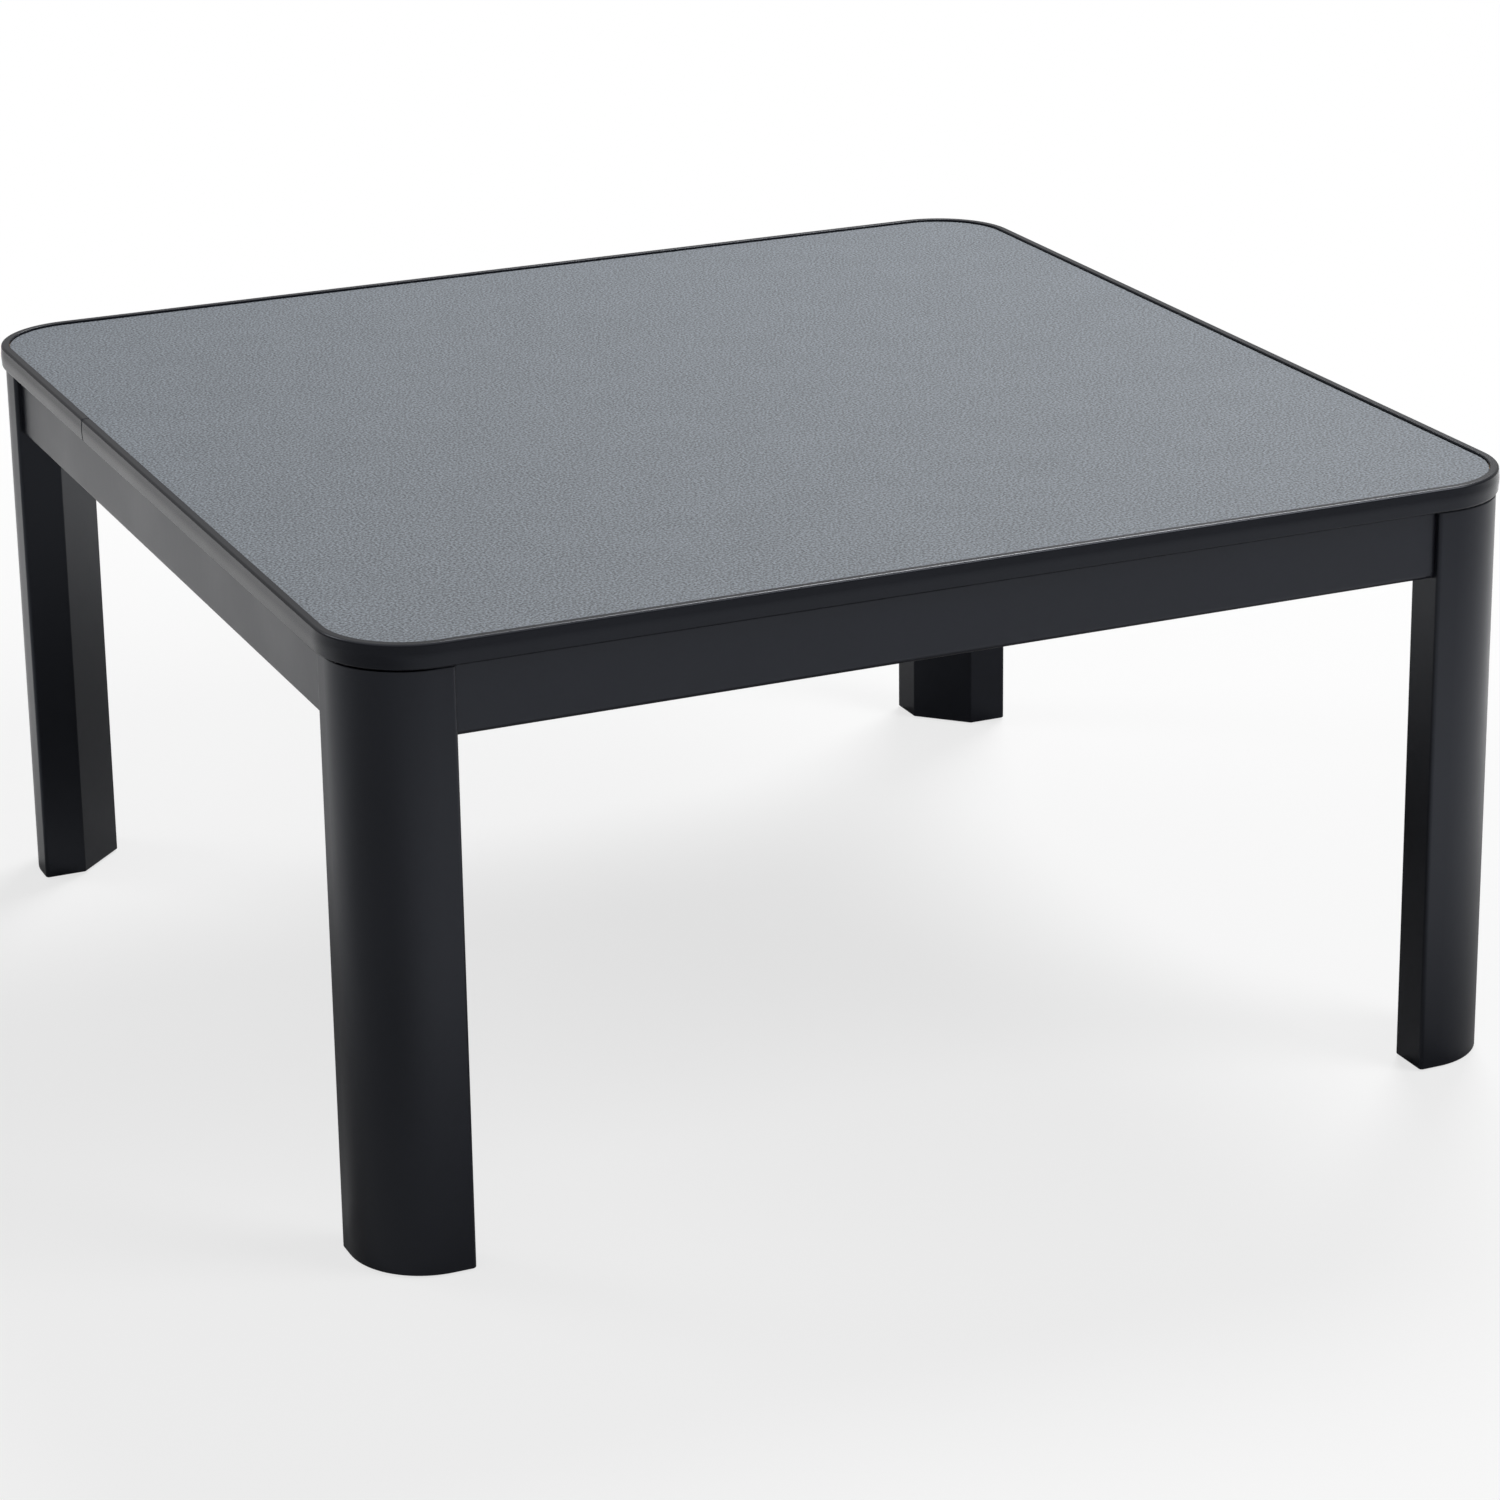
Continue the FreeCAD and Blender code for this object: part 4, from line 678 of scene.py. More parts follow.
def prism_parts(rows):
    """Points and faces of a closed body whose rows are closed outlines, with a lid on both ends."""
    count, columns = rows.shape[:2]
    faces = grid_faces(count, columns, around=True)
    faces.append(list(range(columns))[::-1])
    faces.append(list(range((count - 1) * columns, count * columns)))
    return rows.reshape(-1, 3), faces


def joined(parts):
    """One set of points and faces from several."""
    points = []
    faces = []
    first = 0
    for some_points, some_faces in parts:
        points.append(some_points)
        faces.extend([[number + first for number in face] for face in some_faces])
        first += len(some_points)
    return np.concatenate(points), faces


def welded(parts):
    """The same surface with coinciding points made one, and without the faces that this closes up."""
    points, faces = parts
    _, kept, number = np.unique(np.round(points, 8), axis=0, return_index=True, return_inverse=True)
    number = number.ravel().tolist()
    rings = []
    for face in faces:
        ring = [number[corner] for corner in face]
        ring = [corner for place, corner in enumerate(ring) if corner != ring[place - 1]]
        if len(set(ring)) > 2:
            rings.append(ring)
    return points[kept], rings


def sideways(way):
    """A horizontal direction square to the way: along Y where the way itself is upright."""
    return unit(np.cross(way, (0, 0, 1) if abs(way[2]) < 0.9 else (1, 0, 0)))


def turned_parts(profile, start, way, steps=48):
    """Closed body of a closed (radius, distance) profile turned round the line from start along way."""
    start = np.array(start, float)
    way = unit(np.array(way, float))
    side = sideways(way)
    angles = np.linspace(0, 2 * np.pi, steps, endpoint=False)
    spokes = np.cos(angles)[:, None] * side + np.sin(angles)[:, None] * np.cross(way, side)
    profile = np.array(profile, float)
    return hoop(start + profile[:, 1][:, None, None] * way + profile[:, 0][:, None, None] * spokes[None])


def signed_volume(mesh):
    """Sum of a . (b x c) / 6 over the triangles."""
    mesh.calc_loop_triangles()
    triangles = np.zeros(len(mesh.loop_triangles) * 3, np.int32)
    mesh.loop_triangles.foreach_get("vertices", triangles)
    places = np.zeros(len(mesh.vertices) * 3)
    mesh.vertices.foreach_get("co", places)
    a, b, c = np.moveaxis(places.reshape(-1, 3)[triangles.reshape(-1, 3)], 1, 0)
    return float(np.einsum("ij,ij->i", a, np.cross(b, c)).sum() / 6)


def finish_piece(name, parts, body, slot, stands_for=(), finish=None, crease=32.0):
    """Mesh, outward faces, smooth shading up to the crease angle, finish, body and slot of one piece."""
    points, faces = parts
    mesh = bpy.data.meshes.new(name)
    mesh.from_pydata(points.tolist(), [], faces)
    if signed_volume(mesh) < 0:
        mesh.flip_normals()
    mesh.polygons.foreach_set("use_smooth", np.ones(len(mesh.polygons), bool))
    mesh.set_sharp_from_angle(angle=math.radians(crease))
    mesh.materials.append(FINISHES[finish or slot])
    piece = bpy.data.objects.new(name, mesh)
    bpy.context.scene.collection.objects.link(piece)
    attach(piece, body)
    if stands_for:
        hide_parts(*stands_for)
    print(f"{name}: {len(mesh.polygons)} faces, {abs(signed_volume(mesh)) * 1e6:.1f} cm3")


# %% [markdown]
# ## The board's edge moulding
#
# The black edge is one extruded strip, pressed into a groove and bent round the four corners. Its
# ends meet on the left side, where their eased edges make a fine dark line. Its face is slightly
# crowned, and it stands a little above the laminate as a bead, so that a thin line of light runs
# round the board. The section is written once, as offsets outwards from the core and heights, and
# each station of the way round the board has a foot, from which the corner's radius is measured,
# and a direction outwards: point = foot + (radius + offset) * direction.

# %% The way round the board
MOULD_FACE = 5.8 * MM
MOULD_CORNER = 56.0 * MM
MOULD_EDGE_ROUND = 1.6 * MM
MOULD_RIM_ROUND = 0.4 * MM
MOULD_CROWN = 0.5 * MM
CROWN_RADIUS = 30.0 * MM
BARB_LENGTH = 7.0 * MM
BARB_HALF = 1.1 * MM
BARB_ROUND = 0.1 * MM
SEAM_PLACE = 133.0 * MM
SEAM_GAP = 0.7 * MM
SEAM_EASE = 0.6 * MM
board_low, board_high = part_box("edge_moulding")
BOARD_HALF = board_high.y
BOARD_MIDDLE = (board_low.z + board_high.z) / 2
BOARD_HALF_THICK = (board_high.z - board_low.z) / 2
CORE_HALF = BOARD_HALF - MOULD_FACE
CORE_RADIUS = MOULD_CORNER - MOULD_FACE
WAY_LEAD = 4.0 * MM


def square_way(half, radius, seam=None, steps=24):
    """Feet and outward directions of the stations round a square, or from end to end of its seam."""
    corners = [(x * half, y * half, radius) for x, y in ((-1, -1), (1, -1), (1, 1), (-1, 1))]
    if seam is not None:
        corners = [(-half, seam[0], 0), *corners, (-half, seam[1], 0)]
    points, ways = rounded_line(corners, closed=seam is None, steps=steps, lead=WAY_LEAD)
    return points - ways * radius, ways


def carried(section, feet, ways, radius):
    """Grid of points: each (offset, height) of the section at each station."""
    flat = feet[None] + (radius + section[:, 0])[:, None, None] * ways[None]
    heights = np.broadcast_to(section[:, 1][:, None, None], (*flat.shape[:2], 1))
    return np.concatenate([flat, heights], axis=2)


# %% The moulding
def moulding_section():
    """Closed section and its outward directions: crowned face, flat back, and the barb in the groove."""
    half = BOARD_HALF_THICK
    crown = MOULD_FACE - MOULD_CROWN
    slope = math.atan(MOULD_CROWN / half)
    peak = MOULD_FACE + CROWN_RADIUS * (1 / math.cos(slope) - 1)
    corners = [
        (crown, -half, MOULD_EDGE_ROUND),
        (peak, 0, CROWN_RADIUS),
        (crown, half, MOULD_EDGE_ROUND),
        (0, half, MOULD_RIM_ROUND),
        (0, BARB_HALF, BARB_ROUND),
        (-BARB_LENGTH, BARB_HALF, BARB_ROUND),
        (-BARB_LENGTH, -BARB_HALF, BARB_ROUND),
        (0, -BARB_HALF, BARB_ROUND),
        (0, -half, MOULD_RIM_ROUND),
    ]
    section, ways = rounded_line(corners, steps=10, lead=0.02 * MM)
    return section + (0, BOARD_MIDDLE), ways


def moulding_parts():
    """The section carried from seam to seam. Over the last ease both ends narrow by as much."""
    seam = (SEAM_PLACE - SEAM_GAP / 2, SEAM_PLACE + SEAM_GAP / 2)
    feet, ways = square_way(CORE_HALF, CORE_RADIUS, seam)
    ease = np.array([0, SEAM_EASE])
    feet = np.concatenate([feet[:1], feet[:1] - ease, feet[1:-1], feet[-1:] + ease, feet[-1:]])
    ways = np.concatenate([ways[:1], ways, ways[-1:]])
    section, outward = moulding_section()
    grid = carried(section, feet, ways, CORE_RADIUS)
    narrow = carried(section - outward * SEAM_EASE, feet, ways, CORE_RADIUS)
    grid[:, [0, -1]] = narrow[:, [0, -1]]
    return prism_parts(np.swapaxes(grid, 0, 1))


finish_piece("edge_strip", moulding_parts(), "top_board", "moulding", ["edge_moulding"])

# %% [markdown]
# ## The laminate sheets
#
# Each sheet ends half a millimetre inside the moulding, so a fine dark groove runs round it. The
# sheet is a flat body with a rounded outline and a very small break at its upper edge.

# %% The sheets
SHEET_SET_IN = 0.5 * MM
SHEET_BREAK = 0.12 * MM
SHEET_BORDER = 3.0 * MM


def make_sheet(name, node, slot):
    """Rows from the lower outline to the upper one, stepped in by the break at both faces."""
    low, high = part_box(node)
    feet, ways = square_way(CORE_HALF, CORE_RADIUS)
    edge = -SHEET_SET_IN
    inner = edge - SHEET_BORDER
    section = np.array([
        (inner, low.z),
        (edge - SHEET_BREAK, low.z),
        (edge, low.z + SHEET_BREAK),
        (edge, high.z - SHEET_BREAK),
        (edge - SHEET_BREAK, high.z),
        (inner, high.z),
    ])
    rows = carried(section, feet, ways, CORE_RADIUS)
    finish_piece(name, prism_parts(rows), "top_board", slot, [node])


make_sheet("upper_sheet", "top_laminate", "laminate")
make_sheet("lower_sheet", "reverse_laminate", "reverse_laminate")

# %% [markdown]
# ## The legs
#
# A leg has five sides: two faces outwards with a quarter round between them, two narrow sides, and
# a slanting inner side that takes the bolt. The quarter round is what the light draws, so its arc
# gets many points. The top edge is rounded by moving the outline inwards by r (1 - cos t) while it
# rises by r sin t. One leg is worked out, and the others are quarter turns of it.

# %% The legs
LEG_WALL = 28.0 * MM
LEG_OUTER_RADIUS = 46.0 * MM
LEG_FACE_ROUND = 2.5 * MM
LEG_INNER_ROUND = 1.5 * MM
LEG_TOP_ROUND = 0.8 * MM
LEG_FOOT_ROUND = 1.0 * MM
CORNERS = {"back_right": 0, "back_left": 1, "front_left": 2, "front_right": 3}
SIDES = {"back": 0, "left": 1, "front": 2, "right": 3}


def quarter_turned(points, quarters):
    """Points turned round the table's axis by quarter turns."""
    angle = quarters * math.pi / 2
    cosine, sine = math.cos(angle), math.sin(angle)
    return points @ np.array([[cosine, sine, 0], [-sine, cosine, 0], [0, 0, 1]])


def rounded_ends(low, high, foot, top, steps):
    """Heights and inward steps of the rows of an upright body with rounded lower and upper edges."""
    angle = np.linspace(0, np.pi / 2, steps + 1)
    heights = np.concatenate([low + foot * (1 - np.cos(angle)), high - top * (1 - np.sin(angle))])
    inward = np.concatenate([foot * (1 - np.sin(angle)), top * (1 - np.cos(angle))])
    return heights, inward


def rounded_bar(corners, low, high, foot, top, steps=ARC_STEPS, lead=FLAT_LEAD, end_steps=6):
    """Rows of an upright body over a rounded outline, moved inwards near its rounded ends."""
    outline, ways = rounded_line(corners, steps=steps, lead=lead)
    heights, inward = rounded_ends(low, high, foot, top, end_steps)
    flat = outline[None] - ways[None] * inward[:, None, None]
    upright = np.broadcast_to(heights[:, None, None], (*flat.shape[:2], 1))
    return np.concatenate([flat, upright], axis=2)


def leg_parts():
    """Five corners in the plan: the outer one is the quarter round, the inner two cut the slant."""
    low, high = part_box("leg_back_right")
    outer, end = high.x, low.x
    inner = outer - LEG_WALL
    corners = [
        (outer, end, LEG_FACE_ROUND),
        (outer, outer, LEG_OUTER_RADIUS),
        (end, outer, LEG_FACE_ROUND),
        (end, inner, LEG_INNER_ROUND),
        (inner, end, LEG_INNER_ROUND),
    ]
    return prism_parts(rounded_bar(corners, low.z, high.z, LEG_FOOT_ROUND, LEG_TOP_ROUND, steps=20))


def four_pieces(parts, places, name, body, slot, node):
    """One piece for each place, a quarter turn from the last. The names take the place's name."""
    points, faces = parts
    for place, quarters in places.items():
        turned = quarter_turned(points, quarters), faces
        finish_piece(f"{name}_{place}", turned, body.format(place), slot, [f"{node}_{place}"])


four_pieces(leg_parts(), CORNERS, "lacquered_leg", "frame", "frame_lacquer", "leg")

# %% [markdown]
# ## The aprons
#
# An apron is a bar whose lower outer edge is rounded most, which gives the thin line of light along
# its foot. Two slots across its inner face take the hooked lips of the corner brackets. The bar is
# a row of sections. At a slot's two ends a plain and a notched section stand in the same place,
# and their difference becomes the slot's wall.

# %% The aprons
APRON_LOWER_ROUND = 3.5 * MM
APRON_UPPER_ROUND = 1.5 * MM
SHEET = 2.5 * MM
LIP = 6.0 * MM
BRACKET_FLANGE = 34.0 * MM
SLOT_SPARE = 0.3 * MM
bracket_low, bracket_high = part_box("corner_bracket_back_right")
APRON_LOW, APRON_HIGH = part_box("apron_back")
BRACKET_TIP = bracket_low.x + SHEET


def apron_section(notch):
    """Closed (depth, height) outline of the back apron, its inner face moved outwards by the notch."""
    inner, outer = APRON_LOW.y + notch, APRON_HIGH.y
    low, high = APRON_LOW.z, APRON_HIGH.z
    corners = [
        (inner, low, APRON_UPPER_ROUND),
        (outer, low, APRON_LOWER_ROUND),
        (outer, high, APRON_UPPER_ROUND),
        (inner, high, APRON_UPPER_ROUND),
    ]
    return rounded_line(corners, steps=10)[0]


def apron_parts():
    """Sections along the bar, plain and notched by turns at both slots."""
    plain, notched = apron_section(0), apron_section(LIP + SLOT_SPARE)
    near = BRACKET_TIP - SHEET - SLOT_SPARE
    far = BRACKET_TIP + SLOT_SPARE
    end = APRON_HIGH.x
    stations = [(-end, plain), (-far, plain), (-far, notched), (-near, notched), (-near, plain)]
    stations += [(near, plain), (near, notched), (far, notched), (far, plain), (end, plain)]
    rows = [np.column_stack([np.full(len(section), x), section]) for x, section in stations]
    return welded(prism_parts(np.stack(rows)))


four_pieces(apron_parts(), SIDES, "lacquered_apron", "frame", "frame_lacquer", "apron")

# %% [markdown]
# ## Corner brackets
#
# Each bracket is a strip of zinc plated sheet, bent four times: two lips hooked into the aprons, two
# flanges on their inner faces, and a web across the corner for the leg's bolt. A press leaves round
# bends, so the strip's plan line has an arc at each bend, and the strip's section is carried along
# that line exactly as the moulding's section was carried round the board.

# %% The brackets
BEND_INSIDE = 1.2 * MM
SHEET_EDGE = 0.35 * MM


def box_corners(near, far, low, high):
    """The four corners of an upright box section, the inside to the left of the way round."""
    return [(near, low), (far, low), (far, high), (near, high)]


def bracket_parts():
    """Outer line from lip to lip. Bends to the left hold the line inside, and the web's two outside."""
    inner_face = APRON_LOW.y
    reach = BRACKET_TIP + BRACKET_FLANGE
    near, far = BEND_INSIDE, BEND_INSIDE + SHEET
    corners = [
        (BRACKET_TIP, inner_face + LIP, 0),
        (BRACKET_TIP, inner_face, near),
        (reach, inner_face, far),
        (inner_face, reach, far),
        (inner_face, BRACKET_TIP, near),
        (inner_face + LIP, BRACKET_TIP, 0),
    ]
    feet, ways = rounded_line(corners, closed=False, steps=8)
    low, high = bracket_low.z, bracket_high.z
    edge = [(depth, height, SHEET_EDGE) for depth, height in box_corners(0, SHEET, low, high)]
    section, _ = rounded_line(edge, steps=3, lead=0.2 * MM)
    return prism_parts(np.swapaxes(carried(section, feet, ways, 0), 0, 1))


four_pieces(bracket_parts(), CORNERS, "bent_bracket", "frame", "zinc_steel", "corner_bracket")

# %% [markdown]
# ## Bolts, washers and wing nuts
#
# The bolt's thread is one formula. At distance s along the bolt and angle a round it, the phase is
# s / pitch - a / 2 pi, and the radius falls from the crest by a depth times a triangle wave of that
# phase. The wing nut is cast: a tapered hub, and two wings that are flat plates with full round
# edges, whose feet sink into the hub.

# %% The corner's line
NUT_LENGTH = 9.0 * MM
WASHER_THICK = 1.6 * MM
WASHER_RADIUS = 9.0 * MM
WASHER_BORE = 4.4 * MM
WASHER_ROUND = 0.3 * MM
BOLT_RADIUS = 4.0 * MM
BOLT_PAST_NUT = 5.0 * MM
BOLT_IN_LEG = 34.0 * MM
BRACKET_GAP_TO_LEG = 3.0 * MM
THREAD_PITCH = 1.25 * MM
THREAD_DEPTH = 0.62 * MM
THREAD_ROWS = 16
UP = np.array((0, 0, 1.0))
HEIGHT = (bracket_low.z + bracket_high.z) / 2
leg_low, leg_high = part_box("leg_back_right")
OUTWARD = np.array((1.0, 1.0, 0.0)) / math.sqrt(2)
LEG_LINE = (leg_low.x + leg_high.x - LEG_WALL) / math.sqrt(2)
NUT_SEAT = LEG_LINE - BRACKET_GAP_TO_LEG - SHEET - WASHER_THICK
ACROSS = np.cross(OUTWARD, UP)


def on_diagonal(distance):
    """Point on the back right corner's diagonal at the bolt's height."""
    return OUTWARD * distance + (0, 0, HEIGHT)


def ring_of_four(parts):
    """The back right part and its three quarter turns as one set."""
    points, faces = parts
    return joined([(quarter_turned(points, quarters), faces) for quarters in range(4)])


# %% Bolts and washers
def bolt_parts():
    """Threaded end rows over the plain shank that is in the leg, both ends tapered to a flat."""
    start = NUT_SEAT - NUT_LENGTH - BOLT_PAST_NUT
    end = LEG_LINE + BOLT_IN_LEG
    thread_end = LEG_LINE - MM
    rows = THREAD_ROWS * round((thread_end - start) / THREAD_PITCH)
    along = np.append(np.linspace(start, thread_end, rows), (thread_end + MM, end - MM, end))
    angles = np.linspace(0, 2 * np.pi, 32, endpoint=False)
    phase = along[:, None] / THREAD_PITCH - angles[None] / (2 * np.pi)
    wave = np.abs(2 * (phase - np.floor(phase)) - 1)
    cut = THREAD_DEPTH * np.clip(1.25 * wave - 0.125, 0, 1) * (along <= thread_end)[:, None]
    taper = np.clip(np.minimum(along - start, end - along) / MM, 0, 1)[:, None]
    radius = np.minimum(BOLT_RADIUS - cut, BOLT_RADIUS - THREAD_DEPTH * 1.2 * (1 - taper))
    spoke = np.cos(angles)[:, None] * ACROSS + np.sin(angles)[:, None] * UP
    middle = on_diagonal(0) + along[:, None, None] * OUTWARD
    return prism_parts(middle + radius[:, :, None] * spoke[None])


def washer_parts():
    """A box section with rounded edges, turned round the bolt."""
    box = box_corners(WASHER_BORE, WASHER_RADIUS, 0, WASHER_THICK)
    corners = [(radius, along, WASHER_ROUND) for radius, along in box]
    profile, _ = rounded_line(corners, steps=4, lead=0.1 * MM)
    return turned_parts(profile, on_diagonal(NUT_SEAT), OUTWARD)


ROUND_CREASE = 50
bolts, washers = ring_of_four(bolt_parts()), ring_of_four(washer_parts())
finish_piece("threaded_bolts", bolts, "frame", "zinc_steel", ["hanger_bolts"], crease=ROUND_CREASE)
finish_piece("round_washers", washers, "frame", "zinc_steel", ["washers"])

# %% Wing nuts
HUB_RADIUS = 8.0 * MM
HUB_TIP_RADIUS = 6.5 * MM
NUT_BORE = 4.08 * MM
WING_SPAN = 16.0 * MM
WING_RISE = 8.0 * MM
WING_THICK = 3.2 * MM
WING_ROUND = 4.0 * MM
WING_FOOT = 2.0 * MM
WING_EDGE = 1.5 * MM
WING_SINK = 1.5 * MM


def hub_parts():
    """Profile of the tapered hub and its bore, turned round the bolt."""
    corners = [
        (NUT_BORE, 0, 0.4 * MM),
        (HUB_RADIUS, 0, 0.5 * MM),
        (HUB_TIP_RADIUS, NUT_LENGTH, 1.2 * MM),
        (NUT_BORE, NUT_LENGTH, 0.5 * MM),
    ]
    profile, _ = rounded_line(corners, steps=6, lead=0.1 * MM)
    return turned_parts(profile, on_diagonal(NUT_SEAT), -OUTWARD)


def wing_parts(side):
    """Plate in the plane of the bolt and the horizontal across it, sunk into the hub at its foot.

    The plate is drawn once as (across, away from the leg, up) and laid out on the chosen side. A
    mirrored body would face inwards, so that side keeps the other order of its corners.
    """
    root = HUB_TIP_RADIUS - WING_SINK
    top = NUT_LENGTH + WING_RISE
    corners = [
        (root, WING_FOOT, WING_EDGE),
        (HUB_RADIUS - 0.6 * MM, WING_FOOT, WING_EDGE),
        (WING_SPAN, NUT_LENGTH, WING_ROUND),
        (WING_SPAN, top, WING_ROUND),
        (HUB_RADIUS, top, WING_ROUND),
        (root, NUT_LENGTH - 2 * MM, WING_EDGE),
    ]
    half = WING_THICK / 2
    plate = rounded_bar(corners, -half, half, WING_EDGE, WING_EDGE, steps=10, lead=0.1 * MM, end_steps=5)
    rows = on_diagonal(NUT_SEAT) + plate @ np.array([side * ACROSS, -OUTWARD, UP])
    points, faces = welded(prism_parts(rows))
    return points, [face[::-side] for face in faces]


nut = joined([hub_parts(), wing_parts(1), wing_parts(-1)])
four_pieces(nut, CORNERS, "cast_nut", "nut_{}", "zinc_steel", "wing_nut")

# %% [markdown]
# ## Slotted screws
#
# A pan head is a dome of radius head * sqrt(1 - (h / 1.2 thick)^2) at height h. Its slot splits it
# into two halves, whose rows are circle segments: the chord is the slot's wall. Below them a disc
# makes the slot's floor, and the shank goes on from it into the wood. Every slot stops at its own
# angle, as the screwdriver left it.

# %% The screws
HEAD_SHARE = 2.0
THICK_SHARE = 1.15
SLOT_SHARE = 0.21
SLOT_FLOOR = 0.45
DOME_REACH = 1.2
BRACKET_SCREW = (1.9 * MM, 14 * MM)
SCREW_RISE = 9 * MM


def screw_parts(radius, length, tip, way, slot_angle):
    """Two half domes over a turned body. The tip is where the head sits, and the way leads inwards."""
    head, thick, half_slot = HEAD_SHARE * radius, THICK_SHARE * radius, SLOT_SHARE * radius
    floor_height = SLOT_FLOOR * thick
    tip, way = np.array(tip, float), np.array(way, float)
    side = sideways(way)
    slot_way = math.cos(slot_angle) * side + math.sin(slot_angle) * np.cross(way, side)
    heights = np.linspace(floor_height, thick, 7)
    radii = head * np.sqrt(1 - (heights / (DOME_REACH * thick)) ** 2)
    half_angles = np.arccos(half_slot / radii)[:, None] * np.linspace(-1, 1, 15)
    across, along = np.cos(half_angles)[..., None], np.sin(half_angles)[..., None]
    domes = radii[:, None, None] * (across * np.cross(slot_way, way) + along * slot_way)
    seat = tip - heights[:, None, None] * way
    profile = [
        (0, floor_height),
        (radii[0], floor_height),
        (head, 0),
        (radius, 0),
        (radius, radius - length),
        (0, -length),
    ]
    shank = turned_parts(profile, tip, -way, steps=28)
    return joined([prism_parts(seat + domes), prism_parts(seat - domes), shank])


def bracket_screw_parts():
    """Two screws in each flange, through the bracket into the apron."""
    seat = APRON_LOW.y - SHEET
    place = BRACKET_TIP + BRACKET_FLANGE / 2
    bodies = []
    for rise in (-SCREW_RISE, SCREW_RISE):
        height = HEIGHT + rise
        bodies.append(screw_parts(*BRACKET_SCREW, (place, seat, height), (0, 1, 0), 0.6 + 90 * rise))
        bodies.append(screw_parts(*BRACKET_SCREW, (seat, place, height), (1, 0, 0), 2.1 - 60 * rise))
    return ring_of_four(joined(bodies))


finish_piece("slotted_screws", bracket_screw_parts(), "frame", "zinc_steel", ["bracket_screws"])

# %% [markdown]
# ## Pressed pans: guard, reflector and casing
#
# The heater's three sheet parts are pans with a lip, so one function makes them all. Its plan is a
# grid of lines that includes every edge of every hole. Outside the flat field the grid's rim runs on
# in rings. Each ring is a rounded square with its corner centres at c and corner radius r, so that
# point = foot + r * way, and a rounded profile line gives the half width c + r and the height of
# each ring. A second copy one sheet thickness away, and a wall along every open edge, make it solid.

# %% Sheets and pans
def sheet_parts(outer, inner, faces):
    """Closed sheet from two matching sets of points: both faces, and a wall along every open edge."""
    count = len(outer)
    edges = np.stack([faces, np.roll(faces, -1, axis=1)], axis=2).reshape(-1, 2)
    back = edges[:, 1] * count + edges[:, 0]
    first, last = edges[~np.isin(edges[:, 0] * count + edges[:, 1], back)].T
    walls = np.stack([last, first, first + count, last + count], axis=1)
    everything = np.concatenate([faces, faces[:, ::-1] + count, walls])
    used, numbers = np.unique(everything, return_inverse=True)
    return np.concatenate([outer, inner])[used], numbers.reshape(everything.shape).tolist()


def with_stops(profile, stops):
    """The profile line with one more point wherever its (axis, value) passes a stop."""
    points, ways = profile
    for axis, value in stops:
        index = int(np.searchsorted(points[:, axis], value))
        first, last = points[index - 1], points[index]
        share = (value - first[axis]) / (last[axis] - first[axis])
        points = np.insert(points, index, first + share * (last - first), axis=0)
        ways = np.insert(ways, index, ways[index], axis=0)
    return points, ways


def plan_lines(*edges):
    """Plan lines on both sides of the middle, in order."""
    lines = np.concatenate([np.atleast_1d(edge) for edge in edges])
    return np.unique(np.round(np.concatenate([-lines, lines]), 7))


def middles(values):
    """The middle between each value and the next."""
    return (values[1:] + values[:-1]) / 2


TOUCH = 0.001 * MM


def pan_parts(lines, straight, profile, knots, sheet, open_cells, open_rings):
    """Pan over plan lines. Lines past the straight part share out the corner's 45 degrees evenly."""
    count = len(lines)
    numbers = np.arange(count * count).reshape(count, count)
    rim = np.concatenate([numbers[-1, :-1], numbers[:0:-1, -1], numbers[0, :0:-1], numbers[:-1, 0]])
    along = lines[:-1]
    past = np.abs(along) > straight - TOUCH
    turning = lines[lines > straight - TOUCH]
    shares = np.linspace(0, math.pi / 4, len(turning))
    angle = np.sign(along) * np.interp(np.abs(along), turning, shares)
    points, ways = profile
    centre = np.interp(points[:, 0], *knots)[:, None]
    surfaces = []
    for line in (points, points + sheet * ways):
        radius = line[:, :1] - centre
        x = centre + radius * np.cos(angle)
        y = np.where(past, np.sign(along) * centre, along) + radius * np.sin(angle)
        ring = np.stack([x, y, np.broadcast_to(line[:, 1:], x.shape)], axis=2)
        rings = np.concatenate([quarter_turned(ring, quarters) for quarters in range(4)], axis=1)
        level = np.full((count, count), line[0, 1])
        field = np.stack([*np.meshgrid(lines, lines, indexing="ij"), level], axis=2)
        surfaces.append(np.concatenate([field.reshape(-1, 3), rings.reshape(-1, 3)]))
    ring = np.concatenate([rim, np.arange(count * count, len(surfaces[0]))]).reshape(-1, len(rim))
    beside = np.roll(ring, -1, axis=1)
    ring_faces = np.stack([ring[:-1], ring[1:], beside[1:], beside[:-1]], axis=2)
    field_faces = [numbers[:-1, :-1], numbers[1:, :-1], numbers[1:, 1:], numbers[:-1, 1:]]
    field_faces = np.stack(field_faces, axis=2)
    faces = np.concatenate([field_faces[~open_cells], ring_faces[~open_rings]])
    return sheet_parts(*surfaces, faces)


# %% [markdown]
# The guard is punched: a field of square holes, and slots in three of its walls. The fourth wall has
# a notch for the inlet and its leads. Which cells are open follows from the distance to the nearest
# hole's middle: |x - pitch * round(x / pitch)| < half a hole.

